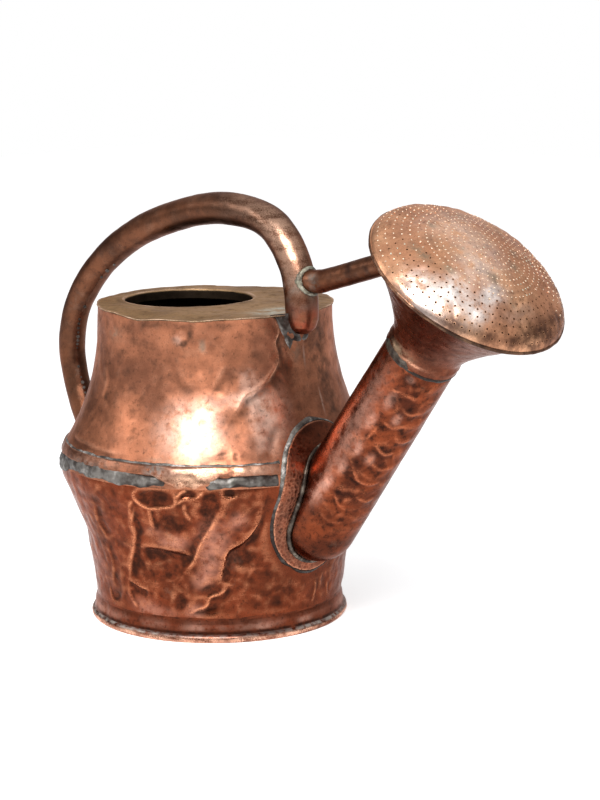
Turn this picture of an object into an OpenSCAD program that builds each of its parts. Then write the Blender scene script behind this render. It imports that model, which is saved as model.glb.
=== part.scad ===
// Old copper watering can with a soldered tube handle, braced spout and domed rose.
// X runs towards the rose, Z is up, and the origin is on the body's axis at floor level.

/* [Body] */
// Radius of the lower body where the foot ring holds it
foot_joint_r = 110; // [95:1:118]
// Height of the foot ring, up to its joint on the body
foot_h = 20; // [16:1:26]
// Widest radius of the copper shells, at the waist
waist_r = 139.3; // [128:0.1:150]
// Height of the widest point
waist_z = 141; // [125:1:160]
// Radius of the rounding that joins the two halves at the waist
waist_round = 40; // [30:1:50]
// Radius of the body at the top plate
top_r = 104; // [90:1:112]
// Height of the top plate above the floor
body_h = 281; // [255:1:320]
// Thickness of the copper sheet
sheet = 1.2; // [0.8:0.1:2]

/* [Waist strap] */
// Height of the copper strap that covers the joint of the two halves
strap_h = 8.5; // [6:0.5:14]
// Thickness of the strap
strap_t = 1.3; // [0.8:0.1:2]
// Height of the lead run between the widest line and the strap
lead_h = 10.5; // [6:0.5:14]
// Height of the thin solder line above the strap
seam_h = 2.5; // [1:0.5:5]

/* [Foot] */
// Radius of the rolled bead that the can stands on
bead_r = 3.8; // [2.5:0.1:5]
// How far the bead stands out past the lower body
foot_flare = 5; // [3:0.5:8]
// Depth that wear has cut from the bottom of the bead
wear_cut = 0.3; // [0.1:0.1:0.6]
// Height of the bottom plate above the floor
base_z = 9; // [8:1:14]
// Width of the ledge under the bottom plate
base_ledge = 3; // [2:0.5:5]

/* [Mouth] */
// Radius of the filling mouth
mouth_r = 57; // [40:1:62]
// Width of the plate behind the mouth, from its edge to the body's side
mouth_rear_rim = 13; // [9:1:22]
// Depth of the collar turned down inside the mouth
mouth_collar = 9; // [4:1:20]
// Radius of the bend at the mouth's edge
mouth_bend = 2.5; // [1.6:0.1:4]
// Overhang of the top plate past the body
plate_overhang = 0.8; // [0.3:0.1:1.5]

/* [Handle] */
// Radius of the handle tube at its front foot
handle_front_r = 14.5; // [11:0.1:16]
// Radius of the handle tube at its rear end
handle_rear_r = 12.2; // [9:0.1:14]
// Height of the handle's crown above the top plate
handle_rise = 82; // [70:1:110]
// Distance of the handle's rear bow behind the waist
bow_gap = 56.7; // [50:0.1:75]
// Height at which the handle's rear end enters the lower body
handle_tail_z = 88; // [80:1:98]
// Length of the rounded toe that laps down over the body's side
toe_drop = 18; // [12:1:30]

/* [Brace] */
// Outside diameter of the brace tube
brace_d = 19.5; // [12:0.5:22]
// Height of the brace's root above the top plate
brace_root_up = 28; // [25:1:36]
// Length of the brace's stub, from the middle of the handle to the elbow
brace_stub = 24; // [20:1:32]
// Distance past the rose's collar at which the brace lands on the flare
brace_land = 41; // [32:1:50]

/* [Spout] */
// Slope of the spout
spout_angle = 53.7; // [48:0.1:58]
// Distance of the spout's heel behind the body's outer face
heel_sink = 1.7; // [0:0.1:6]
// Height of the spout's heel
heel_z = 100.2; // [92:0.1:108]
// Radius of the spout at its heel
spout_heel_r = 34; // [28:0.5:38]
// Radius of the spout at the rose
spout_tip_r = 31.2; // [24:0.1:34]
// Length from the heel to the rose's collar
spout_len = 199; // [185:1:215]

/* [Spout flange] */
// Width of the oval flange where the spout leaves the body
flange_w = 104; // [92:1:110]
// Height of the oval flange
flange_h = 134; // [120:1:142]
// Height of the middle of the flange above the spout's heel
flange_rise = 22.3; // [18:0.1:27]
// Thickness of the flange sheet
flange_t = 1.5; // [1:0.1:2.5]
// Width of the solder run round the flange
flange_solder_w = 4.5; // [2:0.5:6]

/* [Rose] */
// Radius of the rose at its rim
rose_r = 86.2; // [70:0.1:92]
// Height of the domed face above its rim
dome_h = 34.5; // [22:0.1:40]
// Length of the collar that laps over the spout
collar_len = 12; // [8:1:18]
// Length of the flare from the collar to the rim
flare_len = 69.5; // [55:0.5:85]
// Roundness of the flare: 1 is a plain cone, more is a trumpet
flare_power = 1.3; // [1.1:0.1:2]
// Diameter of the holes in the rose
hole_d = 1.5; // [1:0.1:2.5]
// Distance between neighbouring holes, and between their rings
hole_pitch = 6.5; // [6:0.1:12]
// Number of rings of open holes, counted from the rim
open_rings = 6; // [3:1:7]
// Radius of the bead rolled round the rose's rim
rim_bead_r = 2.2; // [1.6:0.1:3]

/* [Hidden] */
$fn = 96;

copper = "#9a5a3c";
dark_copper = "#7c4230";
top_copper = "#8c6a4a";
rose_copper = "#a3714c";
lead = "#7d7f80";

// Slopes of the body where the waist rounding starts and ends, from the vertical
lower_turn = 23;
upper_turn = 30;
lower_turn_z = waist_z - waist_round * sin(lower_turn);
lower_turn_r = waist_r - waist_round * (1 - cos(lower_turn));
upper_turn_z = waist_z + waist_round * sin(upper_turn);
upper_turn_r = waist_r - waist_round * (1 - cos(upper_turn));
// Powers that make both flared curves run tangent into the waist rounding
lower_power = tan(lower_turn) * (lower_turn_z - foot_h) / (lower_turn_r - foot_joint_r);
upper_power = tan(upper_turn) * (body_h - upper_turn_z) / (upper_turn_r - top_r);

// Outer radius of the copper shells at height z
function body_r(z) =
    z <= foot_h ? foot_joint_r
    : z < lower_turn_z ? foot_joint_r + (lower_turn_r - foot_joint_r)
        * pow((z - foot_h) / (lower_turn_z - foot_h), lower_power)
    : z < upper_turn_z ? waist_r - waist_round * (1 - cos(asin((z - waist_z) / waist_round)))
    : top_r + (upper_turn_r - top_r)
        * pow(max(0, body_h - z) / (body_h - upper_turn_z), upper_power);

// Heights at which the body's outline is drawn, closer together round the waist
flare_steps = 9;
round_steps = 4;
body_heights = concat(
    [for (i = [0 : flare_steps - 1]) foot_h + (lower_turn_z - foot_h) * i / flare_steps],
    [for (i = [-round_steps : round_steps])
        waist_z + waist_round * sin((i < 0 ? lower_turn : upper_turn) * i / round_steps)],
    [for (i = [1 : flare_steps]) upper_turn_z + (body_h - upper_turn_z) * i / flare_steps]);

// Solid of revolution inside the shells' outer face, made fatter by grow
module body_solid(grow = 0, low = 0, high = body_h) {
    inner = [for (z = body_heights) if (z > low && z < high) z];
    heights = concat([low], inner, [high]);
    rotate_extrude()
        polygon(concat([[0, low]], [for (z = heights) [body_r(z) + grow, z]], [[0, high]]));
}

// Spout, measured from its heel along its axis
heel_x = body_r(heel_z) - heel_sink;
spout_tip_s = spout_len + collar_len - 3;
module spout_frame() {
    translate([heel_x, 0, heel_z])
        rotate([0, 90 - spout_angle, 0])
            children();
}
module spout_solid(grow = 0) {
    spout_frame() {
        cylinder(r1 = spout_heel_r + grow, r2 = spout_tip_r + grow, h = spout_tip_s);
        sphere(r = spout_heel_r + grow);
    }
}

// Rose: a collar and trumpet flare round the spout's end, measured from the spout's heel
rim_s = spout_len + collar_len + flare_len;
flare_r0 = spout_tip_r + sheet;
flare_end_r = rose_r - 1;
function flare_r(s) = flare_r0
    + (flare_end_r - flare_r0) * pow(max(0, s - spout_len - collar_len) / flare_len, flare_power);
flare_stations = concat([spout_len],
    [for (i = [0 : 10]) spout_len + collar_len + flare_len * i / 10]);

module neck_solid(grow = 0) {
    spout_frame()
        rotate_extrude()
            polygon(concat([[0, spout_len]],
                           [for (s = flare_stations) [flare_r(s) + grow, s]],
                           [[0, rim_s]]));
}

module lower_body() {
    color(copper)
        difference() {
            body_solid(0, base_z, waist_z);
            body_solid(-sheet, base_z - 1, waist_z + 1);
            spout_solid(-sheet);
        }
}

module upper_body() {
    color(copper)
        difference() {
            body_solid(0, waist_z, body_h - sheet);
            body_solid(-sheet, waist_z - 1, body_h);
            spout_solid(-sheet);
        }
}

// Oval prism along X that outlines the spout's flange, grown by grow
module flange_oval(grow = 0) {
    half_w = flange_w / 2 + grow;
    half_h = flange_h / 2 + grow;
    steps = 40;
    translate([0, 0, heel_z + flange_rise])
        rotate([90, 0, 90])
            linear_extrude(height = waist_r + 20)
                polygon([for (i = [0 : steps - 1])
                    [half_w * cos(360 * i / steps), half_h * sin(360 * i / steps)]]);
}

// Skin of thickness t on the body, between two heights, that stops at the flange
module body_band(t, low, high) {
    difference() {
        body_solid(t, low, high);
        body_solid();
        flange_oval(flange_solder_w);
    }
}

strap_low = waist_z + lead_h;
strap_high = strap_low + strap_h;
module waist_strap() {
    color(copper) body_band(strap_t, strap_low, strap_high);
}

module waist_seam_solder() {
    color(lead) body_band(strap_t - 0.4, strap_high, strap_high + seam_h);
}

module waist_lead_run() {
    color(lead) body_band(strap_t + 0.5, waist_z, strap_low);
}

bead_mid_r = foot_joint_r + foot_flare - bead_r;
bead_mid_z = bead_r - wear_cut;
module foot_ring() {
    ledge_r = foot_joint_r - sheet - base_ledge;
    cove_steps = 6;
    cove = [for (i = [0 : cove_steps])
        let (a = 80 * i / cove_steps)
        [bead_mid_r + bead_r - (foot_flare - sheet) * cos(a),
         bead_mid_z + (foot_h - bead_mid_z) * (1 - sin(a))]];
    color(copper)
        difference() {
            union() {
                rotate_extrude()
                    translate([bead_mid_r, bead_mid_z]) circle(r = bead_r);
                rotate_extrude()
                    polygon(concat([[ledge_r, bead_mid_z / 2], [ledge_r, base_z],
                                    [foot_joint_r, base_z], [foot_joint_r, foot_h]],
                                   cove, [[bead_mid_r, bead_mid_z / 2]]));
            }
            // Wear has left a narrow flat where the bead stands on the ground
            translate([0, 0, -bead_r])
                cylinder(r = 2 * foot_joint_r, h = bead_r);
        }
}

module foot_solder() {
    fillet = 5;
    color(lead)
        difference() {
            rotate_extrude()
                polygon([[foot_joint_r - sheet, foot_h], [foot_joint_r + sheet, foot_h],
                         [foot_joint_r + 0.6, foot_h + fillet / 2],
                         [foot_joint_r - sheet, foot_h + fillet]]);
            body_solid();
        }
}

module base_plate() {
    color(dark_copper)
        translate([0, 0, base_z])
            cylinder(r = foot_joint_r - sheet, h = sheet);
}

mouth_back = top_r - mouth_rear_rim - mouth_r;
module top_plate() {
    neck_r = mouth_r + mouth_bend;
    color(top_copper) {
        difference() {
            translate([0, 0, body_h - sheet])
                cylinder(r = top_r + plate_overhang, h = sheet);
            translate([-mouth_back, 0, body_h - 2 * sheet])
                cylinder(r = neck_r, h = 3 * sheet);
        }
        // The mouth's edge is turned down into a short collar
        translate([-mouth_back, 0, body_h - mouth_bend])
            rotate_extrude() {
                difference() {
                    translate([neck_r, 0]) circle(r = mouth_bend);
                    translate([neck_r, 0]) circle(r = mouth_bend - sheet);
                    translate([neck_r, -mouth_bend]) square(2 * mouth_bend);
                    translate([0, -2 * mouth_bend]) square([2 * neck_r, 2 * mouth_bend]);
                }
                translate([mouth_r, mouth_bend - mouth_collar])
                    square([sheet, mouth_collar - mouth_bend]);
            }
    }
}

// Handle: a tube that tapers from its front foot, over the crown, to the rear of the body
foot_x = top_r + 2;
crown_z = body_h + handle_rise;
// The tail enters the body this far inside the body's outer face
tail_sink = 6.4;
handle_reach = waist_r + bow_gap;
tail_in = handle_reach + tail_sink - body_r(handle_tail_z);
tail_drop = crown_z - handle_tail_z;
// Rear bow, with shares of the way in to the tail and of the way down to it
rear_bow = [[0.025, 0.458], [0, 0.545], [0.075, 0.647], [0.213, 0.745], [0.425, 0.844],
            [0.688, 0.927], [1, 1], [1.325, 1.065]];
handle_path = concat([
    [foot_x + 1, body_h - toe_drop], [foot_x + 1, body_h - 6], [foot_x, body_h + 12],
    [foot_x - 3, body_h + 30], [foot_x - 9, crown_z - 37], [foot_x - 20, crown_z - 21],
    [foot_x - 36, crown_z - 8], [foot_x - 60, crown_z - 1], [15, crown_z + 1],
    [-14, crown_z - 2], [-45, crown_z - 9], [-82, crown_z - 21],
    [86 - handle_reach, crown_z - 34], [60 - handle_reach, crown_z - 50],
    [36 - handle_reach, crown_z - 70], [12 - handle_reach, crown_z - 100]],
    [for (p = rear_bow) [tail_in * p[0] - handle_reach, crown_z - tail_drop * p[1]]]);

// Catmull-Rom curve through four neighbouring points
function curve(a, b, c, d, t) = 0.5 * (2 * b + (c - a) * t + (2 * a - 5 * b + 4 * c - d) * t * t
    + (3 * b - a - 3 * c + d) * t * t * t);
// Smooth curve through a list of points, with n stretches between neighbours
function smooth(p, n) = let (last = len(p) - 1) concat(
    [for (i = [0 : last - 1]) for (j = [0 : n - 1])
        curve(p[max(0, i - 1)], p[i], p[i + 1], p[min(last, i + 2)], j / n)],
    [p[last]]);

handle_line = smooth(handle_path, 2);
handle_rings = len(handle_line);
handle_sides = 20;
// Radius of the handle tube at ring i, rounded off over the first few rings of the toe
function handle_r(i) = handle_front_r
    + (handle_rear_r - handle_front_r) * min(1, max(0, i - 12) / 24);
function toe_round(i) = i == 0 ? 0.35 : i == 1 ? 0.8 : i == 2 ? 0.95 : 1;

// Solid tube along the handle's line, grown by grow, with its first ring skipped for the bore
module handle_solid(grow = 0, first = 0) {
    rings = [for (i = [first : handle_rings - 1])
        let (before = handle_line[max(0, i - 1)],
             after = handle_line[min(handle_rings - 1, i + 1)],
             along = (after - before) / norm(after - before),
             side = [along[1], -along[0]],
             r = handle_r(i) * toe_round(i) + grow)
        [for (k = [0 : handle_sides - 1])
            let (a = 360 * k / handle_sides, out = r * cos(a))
            [handle_line[i][0] + side[0] * out, r * sin(a), handle_line[i][1] + side[1] * out]]];
    count = len(rings);
    n = handle_sides;
    polyhedron(
        points = [for (ring = rings) each ring],
        faces = concat(
            [[for (k = [0 : n - 1]) k]],
            [for (i = [0 : count - 2]) for (k = [0 : n - 1])
                let (m = (k + 1) % n)
                [i * n + k, (i + 1) * n + k, (i + 1) * n + m, i * n + m]],
            [[for (k = [n - 1 : -1 : 0]) (count - 1) * n + k]]));
}

module top_solid() {
    translate([0, 0, body_h - sheet])
        cylinder(r = top_r + plate_overhang, h = sheet);
}

module handle() {
    color(dark_copper)
        difference() {
            handle_solid();
            handle_solid(-sheet, 1);
            body_solid();
            top_solid();
        }
}

module handle_front_solder() {
    ridge = 2;
    color(lead)
        difference() {
            union() {
                intersection() {
                    translate([foot_x, 0, body_h])
                        cylinder(r1 = handle_front_r + 4, r2 = handle_front_r, h = ridge);
                    translate([0, 0, body_h])
                        cylinder(r = top_r + ridge, h = ridge);
                }
                // Smear that runs down the body's side below the toe
                intersection() {
                    body_solid(ridge, body_h - 2.4 * toe_drop, body_h);
                    rotate([90, 0, 90])
                        linear_extrude(height = top_r + 30)
                            polygon([[-28, body_h - 1], [-21, body_h - 14], [-11, body_h - toe_drop - 12],
                                     [-3, body_h - toe_drop - 20], [2, body_h - toe_drop - 8],
                                     [12, body_h - toe_drop], [17, body_h - 8], [19, body_h - 1],
                                     [16, body_h + 1], [-16, body_h + 1]]);
                }
            }
            handle_solid();
            body_solid();
            top_solid();
        }
}

module handle_rear_solder() {
    ridge = 2.5;
    tail = handle_path[len(handle_path) - 2];
    before = handle_path[len(handle_path) - 3];
    run_in = before - tail;
    color(lead)
        difference() {
            intersection() {
                translate([tail[0], 0, tail[1]])
                    rotate([0, atan2(run_in[0], run_in[1]), 0])
                        cylinder(r = handle_rear_r + ridge, h = 2 * norm(run_in));
                body_solid(ridge, foot_h, waist_z);
            }
            handle_solid();
            body_solid();
        }
}

// Brace: a stub on the handle, an elbow, then a straight run to the back of the rose
brace_x = foot_x - 2;
brace_z = body_h + brace_root_up;
elbow_x = brace_x + brace_stub;
elbow_swell = 0.3;
// Where the brace's middle line meets the back of the flare
land_s = spout_len + collar_len + brace_land;
land_x = heel_x + land_s * cos(spout_angle) - flare_r(land_s) * sin(spout_angle);
land_z = heel_z + land_s * sin(spout_angle) + flare_r(land_s) * cos(spout_angle);
brace_slope = atan2(land_z - brace_z, land_x - elbow_x);
brace_run = norm([land_x - elbow_x, land_z - brace_z]);
module brace_solid(grow = 0) {
    brace_r = brace_d / 2 + grow;
    translate([brace_x, 0, brace_z])
        rotate([0, 90, 0])
            cylinder(r = brace_r, h = brace_stub);
    translate([elbow_x, 0, brace_z]) {
        sphere(r = brace_r + elbow_swell);
        rotate([0, 90 - brace_slope, 0])
            cylinder(r = brace_r, h = brace_run + brace_d);
    }
}

module brace() {
    color(dark_copper)
        difference() {
            brace_solid();
            brace_solid(-sheet);
            handle_solid();
            neck_solid();
        }
}

module brace_handle_solder() {
    color(lead)
        difference() {
            intersection() {
                handle_solid(2);
                translate([brace_x, 0, brace_z])
                    rotate([0, 90, 0])
                        cylinder(r = brace_d / 2 + 3, h = 2 * handle_front_r);
            }
            handle_solid();
            brace_solid();
        }
}

module brace_rose_solder() {
    color(lead)
        difference() {
            intersection() {
                neck_solid(2);
                translate([elbow_x, 0, brace_z])
                    rotate([0, 90 - brace_slope, 0])
                        cylinder(r = brace_d / 2 + 2.5, h = brace_run + brace_d / 2);
            }
            neck_solid();
            brace_solid();
        }
}

module spout_flange() {
    color(copper)
        difference() {
            intersection() {
                body_solid(flange_t, foot_h, body_h - 10);
                flange_oval();
            }
            body_solid();
            spout_solid();
        }
}

module flange_solder() {
    color(lead)
        difference() {
            intersection() {
                body_solid(flange_t + 0.5, foot_h, body_h - 10);
                flange_oval(flange_solder_w);
            }
            body_solid();
            flange_oval();
        }
}

module spout() {
    color(copper)
        difference() {
            spout_solid();
            difference() {
                spout_solid(-sheet);
                spout_frame()
                    translate([0, 0, spout_tip_s]) cylinder(r = spout_heel_r, h = 1);
            }
            spout_frame()
                translate([0, 0, spout_tip_s - 1]) cylinder(r = spout_tip_r - sheet, h = 4);
            body_solid();
        }
}

module spout_root_solder() {
    ridge = 3;
    color(lead)
        difference() {
            intersection() {
                spout_solid(ridge);
                body_solid(flange_t + ridge, foot_h, body_h - 10);
            }
            body_solid(flange_t);
            spout_solid();
        }
}

module rose_neck() {
    color(dark_copper)
        difference() {
            neck_solid();
            spout_frame()
                rotate_extrude()
                    polygon(concat([[0, spout_tip_s]],
                        [for (s = flare_stations) if (s > spout_tip_s) [flare_r(s) - sheet, s]],
                        [[0, rim_s + 1]]));
            spout_solid();
        }
}

module neck_solder() {
    fillet = 2.5;
    color(lead)
        difference() {
            spout_frame()
                rotate_extrude()
                    polygon([[spout_tip_r - 1, spout_len], [flare_r0, spout_len],
                             [spout_tip_r - 1, spout_len - fillet]]);
            spout_solid();
        }
}

// Outline of the dome: a rounded shoulder that flattens towards the middle
dome_power = 1.18;
function dome_point(a) = [rose_r * pow(cos(a), dome_power), dome_h * pow(sin(a), dome_power)];
// Distance run along that outline from the rim, against its angle
dome_fine = 90;
function dome_run(i) = i == 0 ? 0 : norm(dome_point(i) - dome_point(i - 1)) + dome_run(i - 1);
run_table = [for (i = [0 : dome_fine]) [dome_run(i), i]];
function dome_at(distance) = dome_point(lookup(distance, run_table));
dome_length = run_table[dome_fine][0];
// The face is beaten in flat zones, and each outer zone carries one ring of holes
shoulder = 4;
zones = floor((dome_length - shoulder) / hole_pitch);
zone_edges = concat([for (i = [0 : 2]) dome_at(shoulder * i / 3)],
                    [for (i = [0 : zones - 1]) dome_at(shoulder + i * hole_pitch)],
                    [[0, dome_h]]);

module dome_shell() {
    last = len(zone_edges) - 1;
    rotate_extrude()
        polygon(concat(zone_edges,
            [for (i = [last : -1 : 0])
                let (along = zone_edges[min(last, i + 1)] - zone_edges[max(0, i - 1)],
                     out = i == 0 ? [1, 0] : i == last ? [0, 1]
                         : [along[1], -along[0]] / norm(along))
                [max(0, zone_edges[i][0] - sheet * out[0]), zone_edges[i][1] - sheet * out[1]]]));
}

// Open holes, square to the face; lime has closed the holes nearer the middle
module rose_holes() {
    for (ring = [0 : open_rings - 1]) {
        a = zone_edges[ring + 3];
        b = zone_edges[ring + 4];
        middle = (a + b) / 2;
        tilt = atan2(a[0] - b[0], b[1] - a[1]);
        count = round(2 * PI * middle[0] / hole_pitch);
        for (k = [0 : count - 1])
            rotate([0, 0, 360 * (k + (ring % 2) / 2) / count])
                translate([middle[0], 0, middle[1]])
                    rotate([0, 90 - tilt, 0])
                        cylinder(d = hole_d, h = 4 * sheet, center = true);
    }
}

module rose_face() {
    color(rose_copper)
        difference() {
            spout_frame()
                translate([0, 0, rim_s])
                    difference() {
                        union() {
                            dome_shell();
                            rotate_extrude()
                                translate([rose_r - rim_bead_r + sheet, -rim_bead_r / 3])
                                    circle(r = rim_bead_r);
                        }
                        rose_holes();
                        cylinder(r = rose_r - sheet, h = rim_bead_r);
                    }
            neck_solid();
        }
}

lower_body();
upper_body();
waist_strap();
waist_seam_solder();
waist_lead_run();
foot_ring();
foot_solder();
base_plate();
top_plate();
handle();
handle_front_solder();
handle_rear_solder();
brace();
brace_handle_solder();
brace_rose_solder();
spout_flange();
flange_solder();
spout();
spout_root_solder();
rose_neck();
neck_solder();
rose_face();
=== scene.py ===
import itertools
import math

import bmesh
import bpy
import numpy as np
from mathutils import Matrix, Vector


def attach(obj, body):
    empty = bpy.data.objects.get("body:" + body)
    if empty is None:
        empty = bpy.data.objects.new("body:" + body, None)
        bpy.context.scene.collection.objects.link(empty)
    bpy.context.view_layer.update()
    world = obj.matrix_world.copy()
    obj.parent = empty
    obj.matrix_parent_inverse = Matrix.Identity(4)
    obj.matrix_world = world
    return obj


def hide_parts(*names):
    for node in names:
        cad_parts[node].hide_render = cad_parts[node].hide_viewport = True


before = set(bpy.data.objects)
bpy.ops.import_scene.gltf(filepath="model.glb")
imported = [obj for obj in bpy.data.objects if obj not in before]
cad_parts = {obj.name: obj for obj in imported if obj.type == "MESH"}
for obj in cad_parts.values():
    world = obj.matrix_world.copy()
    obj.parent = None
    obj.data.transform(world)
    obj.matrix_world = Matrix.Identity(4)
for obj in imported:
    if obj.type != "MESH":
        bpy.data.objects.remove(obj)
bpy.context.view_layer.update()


# ------------------------------------------------------------------ lower shell
# The lower half of the body: one sheet of copper raised into a flared tub and much knocked about.
# Its dents, folds and the net of small ridges under the lead run are all beaten into the sheet.

foot_joint_r, foot_h = 110.0, 20.0
waist_r, waist_z, waist_round = 139.3, 141.0, 40.0
top_r, body_h, sheet, base_z = 104.0, 281.0, 1.2, 9.0
lower_turn, upper_turn = math.radians(23), math.radians(30)


def body_r(z):
    """Outer radius in mm of the undented copper shells at height z."""
    z = np.asarray(z, float)
    low_z, up_z = waist_z - waist_round * math.sin(lower_turn), waist_z + waist_round * math.sin(upper_turn)
    low_r, up_r = (waist_r - waist_round * (1 - math.cos(t)) for t in (lower_turn, upper_turn))
    low_power = math.tan(lower_turn) * (low_z - foot_h) / (low_r - foot_joint_r)
    up_power = math.tan(upper_turn) * (body_h - up_z) / (up_r - top_r)
    low = foot_joint_r + (low_r - foot_joint_r) * (np.maximum(z - foot_h, 0) / (low_z - foot_h)) ** low_power
    mid = waist_r - waist_round * (1 - np.sqrt(np.clip(1 - ((z - waist_z) / waist_round) ** 2, 0, 1)))
    top = top_r + (up_r - top_r) * (np.maximum(body_h - z, 0) / (body_h - up_z)) ** up_power
    return np.where(z < low_z, low, np.where(z < up_z, mid, top))


def chance(ix, iy, iz, seed):
    """A fixed number from 0 to 1 for each whole-number cell."""
    h = (ix * 374761393 + iy * 668265263 + iz * 1442695041 + seed * 974634777) & 0xFFFFFFFF
    h = ((h ^ (h >> 13)) * 1274126177) & 0xFFFFFFFF
    return ((h ^ (h >> 16)) & 0xFFFF) / 65535.0


def rumple(p, size, seed):
    """Smooth unevenness from -1 to 1 over points p, with swells of the given size in mm."""
    q = p / size + 200.5 + seed * 0.37
    i = np.floor(q).astype(np.int64)
    f = q - i
    f = f * f * (3 - 2 * f)
    total = 0
    for corner in itertools.product((0, 1), repeat=3):
        weight = 1
        for axis, far in enumerate(corner):
            weight = weight * (f[..., axis] if far else 1 - f[..., axis])
        total = total + weight * chance(*(i[..., k] + corner[k] for k in range(3)), seed)
    return 2 * total - 1


def hammer_marks(p, size, seed):
    """0 in the middle of each hammer mark, rising to 1 on the ridges between them."""
    q = p / size + 200.5
    i = np.floor(q).astype(np.int64)
    near = np.full(q.shape[:-1], 9.0)
    second = near.copy()
    for step in itertools.product((-1, 0, 1), repeat=3):
        cell = [i[..., k] + step[k] for k in range(3)]
        spot = np.stack([cell[k] + chance(*cell, seed + k) for k in range(3)], -1)
        d = np.linalg.norm(q - spot, axis=-1)
        second = np.minimum(second, np.maximum(near, d))
        near = np.minimum(near, d)
    return np.clip(1 - (second - near) * 1.6, 0, 1)


def smooth_line(points, steps=6):
    """A smooth curve through given points."""
    p = np.array(points, float)
    p = np.vstack([2 * p[0] - p[1], p, 2 * p[-1] - p[-2]])
    t = np.linspace(0, 1, steps, endpoint=False)[:, None]
    runs = [0.5 * (2 * b + (c - a) * t + (2 * a - 5 * b + 4 * c - d) * t ** 2 + (3 * b - a - 3 * c + d) * t ** 3)
            for a, b, c, d in zip(p, p[1:], p[2:], p[3:])]
    return np.vstack(runs + [p[-2:-1]])


def beside(x, y, line):
    """Distance from a line, which side (+1 right of a line that runs down), and a fade at its two ends."""
    a, d = line[:-1], line[1:] - line[:-1]
    px, py = x[:, None] - a[:, 0], y[:, None] - a[:, 1]
    t = np.clip((px * d[:, 0] + py * d[:, 1]) / (d ** 2).sum(1), 0, 1)
    away = np.hypot(px - t * d[:, 0], py - t * d[:, 1])
    k = away.argmin(1)
    row = np.arange(len(x))
    side = np.sign(d[k, 0] * py[row, k] - d[k, 1] * px[row, k])
    along = (k + t[row, k]) / len(a)
    return away[row, k], side, np.clip(np.minimum(along, 1 - along) * 7, 0.12, 1)


def fade(x, low, high):
    """A soft step from 0 at low to 1 at high."""
    t = np.clip((x - low) / (high - low), 0, 1)
    return t * t * (3 - 2 * t)


def worked(x, y, folds, hollows):
    """Height in mm and brightness of folds and hollows beaten into a sheet; x and y run along it in mm."""
    height, shine = np.zeros(len(x)), np.zeros(len(x))
    for line, rise, width, fall, reach, bright in folds:
        line, far = smooth_line(line), 2.2 * reach
        near = np.flatnonzero((x > line[:, 0].min() - far) & (x < line[:, 0].max() + far)
                              & (y > line[:, 1].min() - far) & (y < line[:, 1].max() + far))
        if len(near) == 0:
            continue
        away, side, ends = beside(x[near], y[near], line)
        drop = (1 - np.exp(-away / width)) * np.exp(-(away / reach) ** 2) * (side * np.sign(fall) > 0)
        height[near] += (rise * np.exp(-(away / width) ** 1.4) - abs(fall) * drop) * ends
        shine[near] = np.maximum(shine[near], bright * np.exp(-(away / 1.0) ** 2) * ends)
    for at_x, at_y, wide, high, depth, turn in hollows:
        c, s = math.cos(math.radians(turn)), math.sin(math.radians(turn))
        u, v = (x - at_x) * c + (y - at_y) * s, (y - at_y) * c - (x - at_x) * s
        height -= depth * np.exp(-((u / wide) ** 2 + (v / high) ** 2) ** 1.5)
    return height, shine


# Degrees round the body turn into mm along the sheet at this radius, so folds are placed as (degrees, height)
unroll = math.radians(125.0)


def strip(angle, z=0.0, per_degree=unroll):
    """Points of a sheet unrolled flat, for unevenness that runs along it."""
    return np.stack([angle * per_degree, z + 0 * angle, 0 * angle], -1)


def round_can(angle, r, z):
    """Points in mm round the can's axis."""
    a = np.radians(angle)
    return np.stack([r * np.cos(a), r * np.sin(a), z + 0 * a], -1)


def round_grid(count, along, start=-180):
    """Angles all the way round against places along, as two grids."""
    return np.meshgrid(np.linspace(start, start + 360, count, endpoint=False), along, indexing="ij")


def on_sheet(marks, per_degree=unroll):
    """Folds or hollows given in degrees and mm, moved onto the unrolled sheet."""
    if isinstance(marks[0][0], list):
        return [([(a * per_degree, z) for a, z in m[0]],) + m[1:] for m in marks]
    return [(m[0] * per_degree,) + m[1:] for m in marks]
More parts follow.
